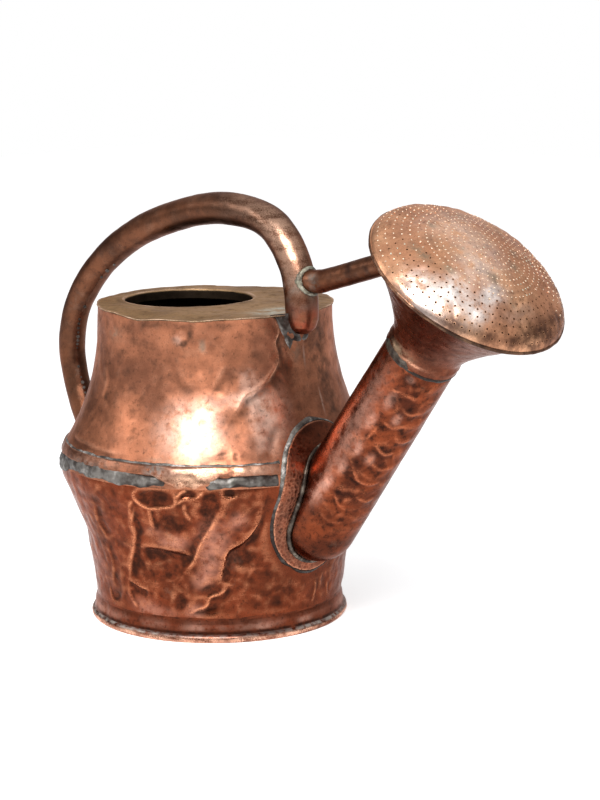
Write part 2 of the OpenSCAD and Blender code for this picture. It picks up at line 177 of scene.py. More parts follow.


# line, rise, width, fall to one side, reach of the fall, brightness of the crest: worn copper and a painted highlight
lower_folds = on_sheet([
    ([(-28, 119), (-29, 108), (-31, 100), (-34, 92), (-39, 85), (-41, 79), (-42, 70), (-43, 61), (-44, 54)],
     0.68, 1.87, 3.69, 15.0, 0.8),
    ([(-40, 52), (-43, 44), (-48, 40), (-50, 32), (-55, 28), (-60, 21)], 0.63, 1.58, 1.7, 10.0, 0.8),
    ([(-44, 119), (-46, 108), (-48, 101), (-50, 94), (-52, 86), (-53, 80), (-55, 72), (-59, 62)],
     0.58, 1.73, -2.27, 12.0, 0.72),
    ([(-79, 83), (-72, 85), (-66, 84), (-60, 82), (-55, 79)], 0.63, 2.88, -2.84, 12.0, 0.28),
    ([(-76, 121), (-79, 108), (-79, 96), (-81, 84), (-84, 72), (-86, 62), (-87, 52)], 0.68, 2.16, 1.98, 10.0, 0.64),
    ([(-88, 50), (-85, 48), (-81, 45), (-77, 43)], 0.84, 1.58, -1.98, 6.0, 0.72),
    ([(-70, 122), (-70, 112), (-70, 100)], 0.72, 1.3, 0.71, 6.0, 0.56),
    ([(-56, 128), (-56, 120), (-54, 111)], 0.65, 1.3, 0.71, 6.0, 0.56),
    ([(-89, 40), (-87, 32), (-84, 25)], 0.72, 1.44, 0.85, 6.0, 0.48),
    ([(-104, 38), (-104, 30), (-101, 25), (-97, 25)], 0.4, 1.6, 0.6, 6.0, 0.3),
    ([(-73, 140), (-75, 134), (-74, 127), (-70, 122), (-65, 123), (-60, 126), (-59, 132), (-60, 139)],
     1.16, 1.2, 0.0, 5.0, 0.8),
    ([(-59, 133), (-57, 138), (-55, 140)], 1.01, 1.2, 0.0, 5.0, 0.8),
    ([(-59, 127), (-56, 132), (-52, 133), (-50, 137), (-50, 140)], 1.01, 1.2, 0.0, 5.0, 0.8),
    ([(-43, 140), (-42, 135), (-39, 133), (-37, 137)], 0.72, 1.2, 0.0, 5.0, 0.64),
    ([(-76, 128), (-78, 121), (-79, 112)], 0.72, 1.2, 0.57, 5.0, 0.56),
    ([(-98, 118), (-100, 100), (-97, 84)], 0.22, 2.6, 0.8, 13.0, 0.15),
    ([(-99, 78), (-97, 60), (-100, 42)], 0.2, 2.6, 0.8, 12.0, 0.15),
    ([(4, 46), (5, 36), (3, 24)], 0.36, 1.2, 0.43, 6.0, 0.4),
    ([(9, 50), (8, 44), (9, 38)], 0.36, 1.2, 0.43, 6.0, 0.4),
    ([(14, 40), (15, 28), (19, 22)], 0.36, 1.2, 0.43, 6.0, 0.32),
    ([(60, 116), (74, 90), (86, 50)], 0.1, 4.5, 1.5, 20.0, 0.1),
    ([(-212, 118), (-200, 88), (-176, 62)], 0.1, 4.0, 1.2, 18.0, 0.1),
    ([(-154, 92), (-144, 60), (-149, 26)], 0.1, 4.0, 1.3, 18.0, 0.1),
])
# degrees, mm, half width, half height, depth, turn
lower_hollows = on_sheet([
    (-71, 67, 30, 17, 3.0, 8), (-35, 77, 13, 8, 2.6, -20), (-28, 62, 24, 22, 1.4, 0),
    (-47, 126, 8, 15, 3.0, -22), (-67, 133, 12, 9, 2.6, 0), (-54.5, 138, 6, 5, 2.0, 0), (-40, 139, 4, 5, 1.6, 0),
    (-61, 108, 16, 10, 2.0, 0), (-99, 30, 8, 7, 1.0, 0), (-47, 47, 10, 6, 1.3, 20), (-61, 35, 7, 8, 1.2, 0),
    (-134, 82, 40, 14, 2.6, 0), (-92, 92, 18, 20, 1.4, 0), (-15, 34, 22, 14, 1.0, 0), (-88, 118, 18, 10, 1.2, 0),
    (66, 88, 22, 16, 2.0, 10), (98, 60, 26, 18, 2.4, -15), (125, 96, 20, 22, 1.8, 0), (84, 36, 16, 9, 1.4, 0),
    (-206, 74, 24, 16, 2.0, 12), (-158, 96, 20, 14, 1.6, 0), (-170, 44, 24, 12, 1.6, -10), (-143, 60, 14, 12, 1.2, 0),
])


def turn_from(angle, start=-224):
    """The same angle counted from start, so that marks on the front lie clear of the join."""
    return (np.asarray(angle, float) - start) % 360 + start


def bearing(points):
    """Angle in degrees of each point round the can's axis."""
    return np.degrees(np.arctan2(points[..., 1], points[..., 0]))


def clear_of_fittings(z, p):
    """0 where the spout's flange, the handle's two feet, the foot joint and the plate must seat, 1 elsewhere."""
    oval = np.hypot(p[:, 1] / 56.5, (z - 122.5) / 71.5)
    keep = np.where(p[:, 0] > 0, fade(oval, 1.0, 1.16), 1)
    toe = np.hypot(np.where(p[:, 0] > 0, p[:, 1], 99) / 24, (z - 268) / 34)
    tail = np.hypot(np.where(p[:, 0] < 0, p[:, 1], 99) / 22, (z - 96) / 32)
    keep = keep * fade(toe, 0.85, 1.2) * fade(tail, 0.85, 1.25)
    return keep * fade(z, foot_h + 1, foot_h + 12) * (0.45 + 0.55 * fade(np.abs(z - 151), 9, 16))


def body_dents(angle, z):
    """Height in mm that the beaten sheet stands off its true form, and the brightness of its folds' crests, worn copper
    with a painted highlight.
    """
    turn = turn_from(angle)
    p = round_can(turn, body_r(z), z)
    x = turn * unroll
    low_h, low_shine = worked(x, z, lower_folds, lower_hollows)
    up_h, up_shine = worked(x, z, upper_folds, upper_hollows)
    lower = 1 - fade(z, 141, 144)
    plain = 0.9 * rumple(p, 52, 3) + 0.55 * rumple(p, 21, 5)
    rough = 0.42 * rumple(p, 9, 11) + 0.16 * rumple(p, 4.5, 12) + 0.40 * hammer_marks(p, 17, 21)
    height = lower * (low_h + plain + rough) + (1 - lower) * (up_h + plain * 0.85 + rough * 0.42)
    keep = clear_of_fittings(z, p)
    return height * keep, (lower * low_shine + (1 - lower) * up_shine) * fade(keep, 0.1, 0.6)


# line, rise, width, fall, reach, brightness: the long crease from the plate's edge, and lesser ones
upper_folds = on_sheet([
    ([(-17, 281), (-14, 275), (-13, 267), (-15, 258), (-14, 250), (-14, 242), (-17, 233), (-21, 226)],
     0.35, 1.6, 2.6, 20, 0.8),
    ([(-16, 238), (-21, 226), (-25, 220), (-31, 215), (-34, 207), (-37, 198)], 0.55, 3.0, 1.3, 14, 0.3),
    ([(-39, 242), (-42, 233), (-44, 227), (-46, 220)], 0.25, 4.0, 0.9, 16, 0.0),
    ([(-64, 242), (-60, 233), (-57, 226), (-52, 221)], 0.15, 4.5, -0.6, 14, 0.0),
    ([(-120, 170), (-108, 168), (-96, 166.5), (-84, 165)], 0.6, 1.8, -0.5, 5, 0.35),
    ([(-108, 236), (-104, 220), (-106, 204)], 0.5, 5.0, 0.9, 16, 0.0),
])
upper_hollows = on_sheet([
    (-28, 246, 22, 26, 1.8, 0), (-59, 259, 4.0, 4.0, 0.45, 0), (-60, 267, 6.0, 6.0, -0.9, 0),
    (-50, 257, 3.5, 4.5, 0.25, 0), (-42, 168, 6.0, 2.6, 0.5, 15), (-37, 167, 2.2, 3.0, 0.5, 0),
    (-55, 238, 10, 8, 0.5, 0), (-62, 246, 12, 8, 0.5, 0), (-47, 232, 7, 14, 0.5, 20), (-86, 236, 34, 26, 1.1, 0),
    (-103, 200, 26, 22, 1.0, 0), (-80, 200, 10, 14, 0.5, 30),
    (-35, 190, 16, 12, 0.8, 0), (-22, 186, 10, 16, 0.8, 0), (-55, 190, 26, 24, -1.0, 0),
    (70, 230, 26, 24, 1.8, 0), (105, 200, 24, 20, 1.4, 0), (125, 248, 20, 18, 1.4, 0),
    (-210, 230, 24, 20, 1.5, 0), (-165, 210, 22, 24, 1.2, 0), (-150, 250, 18, 16, 1.0, 0),
])


def plate_dip(angle):
    """How far in mm the plate's edge and the shell's top edge have been knocked down."""
    turn = turn_from(angle)
    line = strip(turn, per_degree=1.9)
    knock = 2.6 * np.exp(-((turn + 84) / 11) ** 2) + 1.3 * np.exp(-((turn + 58) / 16) ** 2)
    return knock + 1.0 * np.exp(-((turn - 120) / 14) ** 2) + 0.4 * (1 + rumple(line, 14, 8))


def blur(grid, times):
    """Evens out a grid that joins up along its first direction."""
    for _ in range(times):
        grid = (np.roll(grid, 1, 0) + grid + np.roll(grid, -1, 0)) / 3
        wide = np.pad(grid, ((0, 0), (1, 1)), mode="edge")
        grid = (wide[:, :-2] + wide[:, 1:-1] + wide[:, 2:]) / 3
    return grid


def paint(mesh, **masks):
    """Keeps masks such as wear with painted highlights and grime with painted shade as attributes of the mesh's points.
    """
    for name, values in masks.items():
        layer = mesh.attributes.new(name, "FLOAT", "POINT")
        layer.data.foreach_set("value", np.clip(values, 0, 1).astype(np.float32).ravel())


def closed_piece(name, grid, sharp=40, around=True, across=True, **masks):
    """A piece with a closed skin through a grid of points in mm, joined up both ways, with its masks."""
    grid = np.asarray(grid, float)
    n, m = grid.shape[:2]
    i, j = np.meshgrid(np.arange(n if around else n - 1), np.arange(m if across else m - 1), indexing="ij")
    i2, j2 = (i + 1) % n, (j + 1) % m
    faces = np.stack([i * m + j, i2 * m + j, i2 * m + j2, i * m + j2], -1).reshape(-1, 4)
    mesh = bpy.data.meshes.new(name)
    mesh.from_pydata((grid.reshape(-1, 3) * 0.001).tolist(), [], faces.tolist())
    paint(mesh, **masks)
    merge_points(mesh, 2e-6)
    soften(mesh, sharp)
    return make_piece(name, mesh)


def lined_piece(name, outer, inner, inside=1.0, sharp=40, across=True, **masks):
    """A piece of sheet: its outer face, then its inner face, which carries no masks but the one that paints it near
    black as shade.
    """
    blank = np.zeros(inner.shape[:2])
    masks = {k: np.concatenate([v, blank], 1) for k, v in masks.items()}
    masks["inside"] = np.concatenate([0 * outer[..., 0], blank + inside], 1)
    return closed_piece(name, np.concatenate([outer, inner], 1), sharp, across=across, **masks)


def merge_points(mesh, distance):
    """Joins points that lie together, so that the skin is closed, and turns its faces outwards."""
    bm = bmesh.new()
    bm.from_mesh(mesh)
    bmesh.ops.remove_doubles(bm, verts=bm.verts, dist=distance)
    bmesh.ops.recalc_face_normals(bm, faces=bm.faces)
    bm.to_mesh(mesh)
    bm.free()


def soften(mesh, sharp):
    """Smooth shading, with an edge kept wherever faces meet at more than the given angle."""
    mesh.shade_smooth()
    mesh.set_sharp_from_angle(angle=math.radians(sharp))


def make_piece(name, mesh):
    piece = bpy.data.objects.new(name, mesh)
    bpy.context.scene.collection.objects.link(piece)
    return piece


def discard(*tools):
    for tool in tools:
        bpy.data.objects.remove(tool)


def settle(piece, sharp=40):
    """Turns a piece's modifiers into plain mesh."""
    bpy.context.view_layer.update()
    graph = bpy.context.evaluated_depsgraph_get()
    mesh = bpy.data.meshes.new_from_object(piece.evaluated_get(graph), preserve_all_data_layers=True, depsgraph=graph)
    piece.modifiers.clear()
    piece.data = mesh
    soften(mesh, sharp)
    return piece


def cut_away(piece, tool, sharp=40):
    """Cuts a closed tool shape out of a closed piece."""
    cut = piece.modifiers.new("cut", "BOOLEAN")
    cut.operation, cut.solver, cut.object = "DIFFERENCE", "MANIFOLD", tool
    return settle(piece, sharp)


def show_as(piece, material, slot, *nodes):
    """Gives a piece its finish and says which parts of the frame it stands for."""
    piece.data.materials.clear()
    piece.data.materials.append(material)
    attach(piece, "root")
    if nodes:
        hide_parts(*nodes)


def shell_grid(heights, stand_off=0.0, angles=600):
    """Outer face of a stretch of the body: points, dents and brightness on a grid of angles and heights."""
    angle, z = round_grid(angles, heights)
    dent, shine = (m.reshape(z.shape) for m in body_dents(angle.ravel(), z.ravel()))
    low = z - plate_dip(angle) * fade(z, body_h - 22, body_h - 2)
    return round_can(angle, body_r(z) + dent + stand_off, low), dent, shine


def relief(dent, times=9):
    """Crests and bottoms of a dented grid, each from 0 to 1."""
    raised = dent - blur(dent, times)
    return np.clip(raised / 0.28, 0, 1), np.clip(-raised / 0.30, 0, 1)


def spots(x, y, marks):
    """Sum of soft patches given as x, y, half width, half height (all in mm) and strength."""
    total = 0
    for at_x, at_y, wide, tall, strength in marks:
        total = total + strength * np.exp(-(((x - at_x) / wide) ** 2 + ((y - at_y) / tall) ** 2) ** 1.4)
    return total


def shell(name, low, high, rows, marks):
    """A dented shell with its wall, outer face up and then inner face down. Marks add patches to its masks."""
    outer, dent, shine = shell_grid(np.linspace(low, high, rows))
    crest, pit = relief(dent)
    # The folds' crest brightness: worn copper, partly painted highlights.
    masks = {"wear": np.maximum(shine, 0.28 * crest), "grime": pit}
    for mask, patches in marks.items():
        masks[mask] = masks.get(mask, 0) + spots(turn_from(bearing(outer)) * unroll, outer[..., 2], on_sheet(patches))
    return lined_piece(name, outer, shell_grid(np.linspace(high, low, 24), -sheet)[0], **masks)


lower_shell = shell("lower_shell", base_z, waist_z, 114, {
    "grime": [(-67, 133, 10, 8, 0.9), (-54.5, 138, 5, 5, 0.9), (-40, 139, 4, 4, 0.7), (-47, 126, 7, 14, 0.65),
              (-71, 66, 24, 14, 0.55), (-34, 79, 11, 5, 0.9), (-47, 47, 9, 5, 0.9), (-61, 35, 5, 6, 0.65),
              (-11, 47, 2, 5, 0.9), (-36, 22, 3, 4, 0.7), (-61, 109, 16, 9, 0.5), (-99, 29, 6, 5, 0.5),
              (-81, 40, 9, 3, 0.8), (-95, 38, 4, 5, 0.5), (5, 40, 3, 10, 0.4), (-20, 30, 20, 7, 0.25),
              (-92, 120, 18, 14, 0.3), (0, 24, 14, 4, 0.4), (-20, 66, 18, 30, 0.22), (-30, 60, 8, 20, 0.35),
              (-40, 120, 6, 9, 0.5), (-100, 80, 14, 40, 0.3), (8, 60, 16, 40, 0.25)],
    # Pale patches: painted highlights on the lit parts of the dents.
    "pale": [(-46, 92, 14, 20, 0.6), (-48, 66, 9, 14, 0.5), (-62, 91, 13, 7, 0.7), (-55, 27, 9, 7, 0.7),
             (-37, 112, 8, 8, 0.6), (-80, 28, 16, 8, 0.4), (-72, 24, 20, 5, 0.35), (-70, 100, 8, 5, 0.3),
             (-52, 55, 8, 8, 0.5)]})


class Wires:
    """Lays nodes in a tree and joins them, so that a finish reads as a short list of steps."""

    def __init__(self, tree):
        self.tree = tree

    def node(self, kind, inputs=None, **settings):
        made = self.tree.nodes.new(kind)
        for name, value in settings.items():
            setattr(made, name, value)
        return self.feed(made, inputs or {})

    def feed(self, node, inputs):
        """Links sockets to a node's inputs, and sets plain values on them."""
        for key, value in inputs.items():
            if isinstance(value, bpy.types.NodeSocket):
                self.tree.links.new(value, node.inputs[key])
            elif isinstance(value, tuple) and node.inputs[key].type == "RGBA":
                node.inputs[key].default_value = (*value, 1)
            else:
                node.inputs[key].default_value = value
        return node

    def math(self, how, a, b=0.0, clamp=False):
        return self.node("ShaderNodeMath", {0: a, 1: b}, operation=how, use_clamp=clamp).outputs[0]

    def times(self, a, b):
        return self.math("MULTIPLY", a, b)

    def plus(self, a, b, clamp=False):
        return self.math("ADD", a, b, clamp)

    def mix(self, share, a, b, blend="MIX"):
        return self.node("ShaderNodeMix", {"Factor": share, 6: a, 7: b}, data_type="RGBA", blend_type=blend).outputs[2]

    def where(self):
        return self.node("ShaderNodeTexCoord").outputs["Object"]

    def noise(self, where, scale, detail=4.0, rough=0.55):
        return self.node("ShaderNodeTexNoise", {"Vector": where, "Scale": scale, "Detail": detail,
                                                "Roughness": rough}).outputs["Fac"]

    def band(self, value, low, high):
        return self.node("ShaderNodeMapRange", {"Value": value, "From Min": low, "From Max": high},
                         interpolation_type="SMOOTHSTEP").outputs[0]

    def mask(self, name):
        return self.node("ShaderNodeAttribute", attribute_name=name).outputs["Fac"]


def new_finish(name):
    """A new material with its wires and its main shader."""
    made = bpy.data.materials.new(name)
    made.use_nodes = True
    return made, Wires(made.node_tree), made.node_tree.nodes["Principled BSDF"]


def group_with(name, inputs, outputs, kind="ShaderNodeTree"):
    """An empty node group with named sockets."""
    tree = bpy.data.node_groups.new(name, kind)
    for in_out, sockets in (("INPUT", inputs), ("OUTPUT", outputs)):
        for socket, holds in sockets:
            tree.interface.new_socket(socket, in_out=in_out, socket_type="NodeSocket" + holds)
    return tree


def old_copper_group():
    """Copper gone brown: broad clouds, mottling, rubbed streaks, worn crests that also carry painted highlights, pale
    patches that are mostly painted highlights, dirty hollows with some painted shade, green-grey bloom, and inner faces
    painted near black as shade.
    """
    colours = ("Copper", "Brown", "Dark", "Bare And Highlight", "Pale", "Bloom")
    numbers = ("Cloud Scale", "Mottle", "Bloom Amount", "Roughness", "Metal")
    tree = group_with("old_copper", [(n, "Color") for n in colours] + [(n, "Float") for n in numbers],
                      [("Color", "Color"), ("Roughness", "Float"), ("Metallic", "Float"), ("Height", "Float")])
    w = Wires(tree)
    given = w.node("NodeGroupInput").outputs
    where = w.where()
    drawn = w.node("ShaderNodeMapping", {"Vector": where, "Scale": (0.2, 0.2, 1.0)}).outputs[0]
    clouds = w.noise(where, given["Cloud Scale"], 5.0, 0.6)
    mottle = w.noise(where, w.times(given["Cloud Scale"], 4.6), 5.0, 0.62)
    grain = w.noise(where, 950.0, 3.0, 0.6)
    streaks = w.noise(drawn, 210.0, 3.0, 0.55)
    fine = w.band(w.noise(where, 300.0, 5.0, 0.7), 0.53, 0.70)
    stains = w.band(w.noise(where, 38.0, 4.0, 0.7), 0.60, 0.72)
    dark_spots = w.times(w.band(mottle, 0.52, 0.70), given["Mottle"])
    # Pale patches: on most pieces painted highlights.
    pale = w.times(w.mask("pale"), w.band(mottle, 0.24, 0.58))
    bloom = w.plus(w.times(w.mask("bloom"), w.band(mottle, 0.36, 0.56)), w.times(stains, given["Bloom Amount"]), True)
    # Dark patches: dirt in hollows, and in places painted shade.
    grime = w.times(w.mask("grime"), w.band(mottle, 0.20, 0.62))
    # Bright patches: bare worn copper, and in places painted highlights.
    wear = w.times(w.mask("wear"), w.band(w.plus(grain, streaks), 0.70, 1.15))
    colour = w.mix(w.band(clouds, 0.36, 0.62), given["Brown"], given["Copper"])
    # The last step paints inner faces, and the rose's rolled edge, near black as shade.
    for share, over in ((dark_spots, given["Dark"]), (pale, given["Pale"]), (w.times(fine, 0.55), given["Dark"]),
                        (w.times(bloom, 0.8), given["Bloom"]), (w.times(grime, 0.85), given["Dark"]),
                        (w.times(wear, 0.9), given["Bare And Highlight"]), (w.times(w.mask("inside"), 0.94), (0.010, 0.008, 0.007))):
        colour = w.mix(share, colour, over)
    shade = w.plus(w.plus(w.times(streaks, 0.16), w.times(grain, 0.5)), 0.67)
    tint = w.node("ShaderNodeCombineColor", {0: shade, 1: shade, 2: shade}).outputs[0]
    colour = w.mix(1.0, colour, tint, "MULTIPLY")
    rough = w.plus(given["Roughness"], w.times(w.math("SUBTRACT", mottle, 0.5), 0.45))
    rough = w.plus(rough, w.times(w.plus(dark_spots, bloom), 0.12))
    rough = w.math("SUBTRACT", rough, w.times(wear, 0.08), True)
    metal = w.math("SUBTRACT", given["Metal"], w.times(bloom, 0.5), True)
    height = w.plus(w.times(mottle, 0.7), w.times(grain, 0.16))
    w.node("NodeGroupOutput", {"Color": colour, "Roughness": rough, "Metallic": metal, "Height": height})
    return tree


old_copper = old_copper_group()


def copper_finish(name, copper, brown, dark, bare_and_highlight=(0.86, 0.43, 0.24), pale=(0.60, 0.34, 0.25),
                  bloom=(0.20, 0.21, 0.16), cloud=22.0, mottle=0.55, bloom_amount=0.1, roughness=0.34, metal=0.94,
                  bump=0.0005):
    """A copper finish with its own colours and wear."""
    made, w, shader = new_finish(name)
    aged = w.node("ShaderNodeGroup", node_tree=old_copper)
    w.feed(aged, {"Copper": copper, "Brown": brown, "Dark": dark, "Bare And Highlight": bare_and_highlight, "Pale": pale, "Bloom": bloom,
                  "Cloud Scale": cloud, "Mottle": mottle, "Bloom Amount": bloom_amount, "Roughness": roughness,
                  "Metal": metal})
    bumps = w.node("ShaderNodeBump", {"Height": aged.outputs["Height"], "Distance": bump, "Strength": 0.6})
    w.feed(shader, {"Base Color": aged.outputs["Color"], "Roughness": aged.outputs["Roughness"],
                    "Metallic": aged.outputs["Metallic"], "Normal": bumps.outputs[0],
                    "Specular Tint": (0.86, 0.70, 0.66)})
    return made


lower_copper = copper_finish("lower_shell_copper", copper=(0.155, 0.034, 0.014), brown=(0.105, 0.026, 0.012),
                             dark=(0.016, 0.008, 0.006), bare_and_highlight=(0.86, 0.34, 0.17), pale=(0.43, 0.190, 0.130),
                             cloud=26.0, mottle=0.16, roughness=0.30, metal=1.0)


# ------------------------------------------------------------------ spout
# A tapered copper tube with a round heel, soldered through the front of the body. It was hammered
# round, and the marks show as cross ripples and a line of bright facets with dark patches between.
# The facets' brightness is painted highlight, and the ripples' crests are worn copper with painted highlights.

spout_slope = math.radians(53.7)
heel = np.array([float(body_r(100.2)) - 1.7, 0.0, 100.2])
heel_r, tip_r, spout_len, collar_len, flare_len = 34.0, 31.2, 199.0, 12.0, 69.5
tip_s = spout_len + collar_len - 3
rim_s = spout_len + collar_len + flare_len
up_spout = np.array([math.cos(spout_slope), 0.0, math.sin(spout_slope)])
back_of_spout = np.array([-math.sin(spout_slope), 0.0, math.cos(spout_slope)])
left_of_spout = np.array([0.0, 1.0, 0.0])
spout_unroll = math.radians(32.5)


def round_spout(angle, s, r):
    """Points round the spout's axis, s along it; angle 0 faces the handle and -90 the right-hand side."""
    a = np.radians(angle)[..., None]
    ring = np.cos(a) * back_of_spout + np.sin(a) * left_of_spout
    return heel + np.asarray(s)[..., None] * up_spout + np.asarray(r)[..., None] * ring


def spout_r(s, wall=0.0):
    tube = heel_r + (tip_r - heel_r) * np.clip(s, 0, tip_s) / tip_s - wall
    return np.where(s < 0, np.sqrt(np.clip((heel_r - wall) ** 2 - s ** 2, 0, None)), tube)


def stations(wall, high, count):
    """Places along the spout, closer together round its heel, starting from the heel's pole."""
    return np.concatenate([-(heel_r - wall) * np.cos(np.linspace(0, math.pi / 2, 12))[:-1],
                           np.linspace(0, high, count)])


def plug(angles, *columns):
    """A closed plug for cutting, through a grid of points with a middle point for each end that is open."""
    grid = [c if np.ndim(c) == 3 else np.repeat(np.array(c, float)[None, None], angles, 0) for c in columns]
    return closed_piece("plug", np.concatenate(grid, 1), across=False)


def spout_plug(grow):
    """A plug in the shape of the spout."""
    angle, s = round_grid(128, stations(-grow, tip_s, 12))
    return plug(128, round_spout(angle, s, spout_r(s, -grow)), heel + tip_s * up_spout)


def body_plug(high):
    """A plug in the shape of the undented body."""
    angle, z = round_grid(360, np.linspace(2.0, high, 90))
    return plug(360, (0, 0, 2.0), round_can(angle, body_r(z), z), (0, 0, high))


bore = spout_plug(-sheet)
cut_away(lower_shell, bore)
show_as(lower_shell, lower_copper, "body_copper", "lower_body")

spout_folds = on_sheet([
    ([(-152, 175), (-130, 176), (-108, 174)], 0.6, 2.4, 0.7, 8, 0.5),
    ([(-132, 205.5), (-118, 206), (-104, 205)], 0.3, 1.0, 0.0, 4, 1.0),
    ([(-122, 132), (-118, 128), (-116, 120)], 0.4, 1.6, 0.5, 6, 0.5),
    ([(-136, 163), (-152, 158), (-176, 161)], 0.35, 2.8, 0.9, 9, 0.22),
    ([(-124, 143), (-140, 141), (-158, 146)], 0.40, 2.2, 1.1, 9, 0.45),
    ([(-152, 133), (-166, 128), (-184, 130)], 0.35, 2.6, 0.9, 9, 0.25),
    ([(-130, 121), (-150, 113), (-168, 116)], 0.45, 2.4, 1.2, 10, 0.40),
    ([(-140, 101), (-158, 97), (-182, 100)], 0.30, 3.0, 0.9, 10, 0.20),
    ([(-122, 88), (-136, 80), (-156, 79), (-172, 84)], 0.45, 2.2, 1.2, 10, 0.45),
    ([(-146, 64), (-164, 60), (-180, 63)], 0.30, 2.8, 0.8, 9, 0.22),
    ([(-118, 57), (-130, 50), (-144, 47)], 0.35, 2.4, 0.9, 9, 0.30),
    ([(-112, 34), (-132, 30), (-152, 33)], 0.30, 2.6, 0.7, 8, 0.20),
], spout_unroll)
spout_hollows = on_sheet([
    (-126, 190, 9, 8, 0.8, 0), (-122, 120, 6, 8, 0.6, 0), (-124, 98, 6, 7, 0.7, 0), (-122, 78, 6, 8, 0.7, 0),
    (-124, 56, 6, 8, 0.6, 0), (-121, 143, 6, 7, 0.6, 0), (-150, 122, 9, 8, 0.6, 0), (-150, 160, 9, 8, 0.6, 0),
    (60, 120, 12, 20, 0.7, 0), (95, 70, 10, 14, 0.7, 0), (130, 150, 12, 16, 0.8, 0), (20, 90, 12, 26, 0.5, 0),
], spout_unroll)


def spout_dents(angle, s):
    """Height in mm and brightness of the hammer work on the spout."""
    turn = turn_from(angle, -250)
    height, shine = worked(turn.ravel() * spout_unroll, s.ravel(), spout_folds, spout_hollows)
    p = round_spout(angle, s, spout_r(s))
    marks = 0.55 * (hammer_marks(p, 18, 31) - 0.45) + 0.42 * rumple(p, 20, 32) + 0.16 * rumple(p, 7, 33)
    under = fade(np.abs(turn + 145), 62, 24)
    warp = s + 5 * rumple(p, 26, 34) + 0.10 * (turn + 140)
    ripple = np.sin(warp * 2 * math.pi / (18 + 2 * rumple(p, 60, 35)))
    height = height.reshape(s.shape) + marks * (0.35 + 0.65 * under)
    height = height + 0.42 * ripple * under * (0.6 + 0.5 * rumple(p, 20, 36))
    return height * fade(s, 4, 50) * fade(s, tip_s + 4, tip_s - 8), shine.reshape(s.shape)


angle, s = round_grid(200, stations(0, tip_s, 190))
spout_lift, spout_shine = spout_dents(angle, s)
outer = round_spout(angle, s, spout_r(s) + spout_lift * (spout_r(s) > 20))
angle_in, s_in = round_grid(200, stations(sheet, tip_s, 40)[::-1])
inner = round_spout(angle_in, s_in, spout_r(s_in, sheet) + spout_dents(angle_in, s_in)[0] * (s_in > 0))
crest, pit = relief(spout_lift, 6)
x = turn_from(angle, -250) * spout_unroll
spout = lined_piece(
    "spout_tube", outer, inner, across=False,
    # Worn crests, partly painted highlights on the ripples.
    wear=np.maximum(spout_shine, 0.38 * crest),
    grime=0.8 * pit + 0.35 * fade(s, 70, 25) + 0.25 * rumple(outer, 24, 37) + spots(x, s, on_sheet([
        (-126, 190.5, 9.5, 7, 1.0), (-120, 168, 5, 5, 0.8), (-155, 165, 6, 5, 0.7), (-122, 137, 6, 4, 0.8),
        (-150, 117, 7, 5, 0.8), (-90, 122, 5, 4, 0.6), (-118, 95, 5, 4, 0.8), (-122, 82, 5, 5, 0.7),
        (-145, 185, 7, 5, 0.6), (-128, 60, 6, 7, 0.5), (-160, 90, 10, 8, 0.5), (-165, 140, 10, 8, 0.5)],
        spout_unroll)),
    # Pale patches: painted highlights along the line of facets and on the side facing the lamp.
    pale=spots(x, s, on_sheet([
        (-126, 190.5, 4, 3, 0.9), (-85, 110, 12, 70, 0.4), (-60, 150, 14, 40, 0.4), (-92, 46, 7, 12, 0.6),
        (-116, 164, 4, 9, 0.5), (-108, 138, 4, 8, 0.6), (-112, 108, 4, 7, 0.6), (-106, 84, 4, 7, 0.5),
        (-100, 62, 4, 7, 0.7), (-140, 150, 4, 6, 0.5), (-136, 104, 4, 6, 0.4)], spout_unroll)))
plain_body = body_plug(body_h - sheet)
cut_away(spout, plain_body)
spout_copper = copper_finish("spout_copper", copper=(0.185, 0.043, 0.017), brown=(0.078, 0.021, 0.011),
                             dark=(0.018, 0.008, 0.006), bare_and_highlight=(0.78, 0.250, 0.115), pale=(0.58, 0.290, 0.210),
                             cloud=34.0, mottle=0.75, roughness=0.24, metal=1.0)
show_as(spout, spout_copper, "spout_copper", "spout")


# ------------------------------------------------------------------ spout flange and its solder
# An oval copper flange beaten to the body's curve, fine punch marks on its lower left side. It is
# soldered all round its edge, and a fillet of solder closes it round the spout.

flange_z, flange_half_w, flange_half_h, flange_t, flange_solder_w = 122.5, 52.0, 67.0, 1.5, 4.5


def on_body_front(y, z, stand_off):
    """Points on the front of the body at y and z, standing off its face."""
    slope = body_r(z + 0.5) - body_r(z - 0.5)
    lean = np.hypot(1, slope)
    r = body_r(z)
    x = np.sqrt(np.maximum(r ** 2 - y ** 2, 1))
    return np.stack([x + stand_off * x / r / lean, y + stand_off * y / r / lean, z - stand_off * slope / lean], -1)


def oval(share, turn, grow=0.0):
    """Points of the flange's outline shrunk to a share of its size; turn runs from 0 to 360."""
    a = np.radians(turn)
    return share * (flange_half_w + grow) * np.cos(a), flange_z + share * (flange_half_h + grow) * np.sin(a)


turn, share = round_grid(360, np.linspace(0.02, 1, 84), 0)
y, z = oval(share, turn)
p = on_body_front(y, z, 0)
lower_left = fade(-y - 0.35 * (z - flange_z), -26, 24)
punched = hammer_marks(p, 3.4, 41) * 0.42 * lower_left
waves = 0.40 * rumple(p, 26, 42) + 0.16 * rumple(p, 9, 43)
edge = fade(share, 1.0, 0.975)
face = on_body_front(y, z, flange_t * (0.25 + 0.75 * edge) + (punched + waves) * edge)
flange = lined_piece(
    "flange_plate", face, on_body_front(y[:, ::7][:, ::-1], z[:, ::7][:, ::-1], 0.05), inside=0.0,
    wear=1.5 * punched - 0.35 + 0.9 * fade(share, 0.955, 0.985),
    grime=0.55 * fade(punched, 0.16, 0.0) * lower_left + spots(y, z, [(-16, 182, 8, 3, 0.8), (30, 80, 8, 8, 0.5)]),
    pale=0.12 * lower_left + spots(y, z, [(-40, 165, 10, 18, 0.4)]))
spout_core = spout_plug(0.05)
cut_away(flange, spout_core)
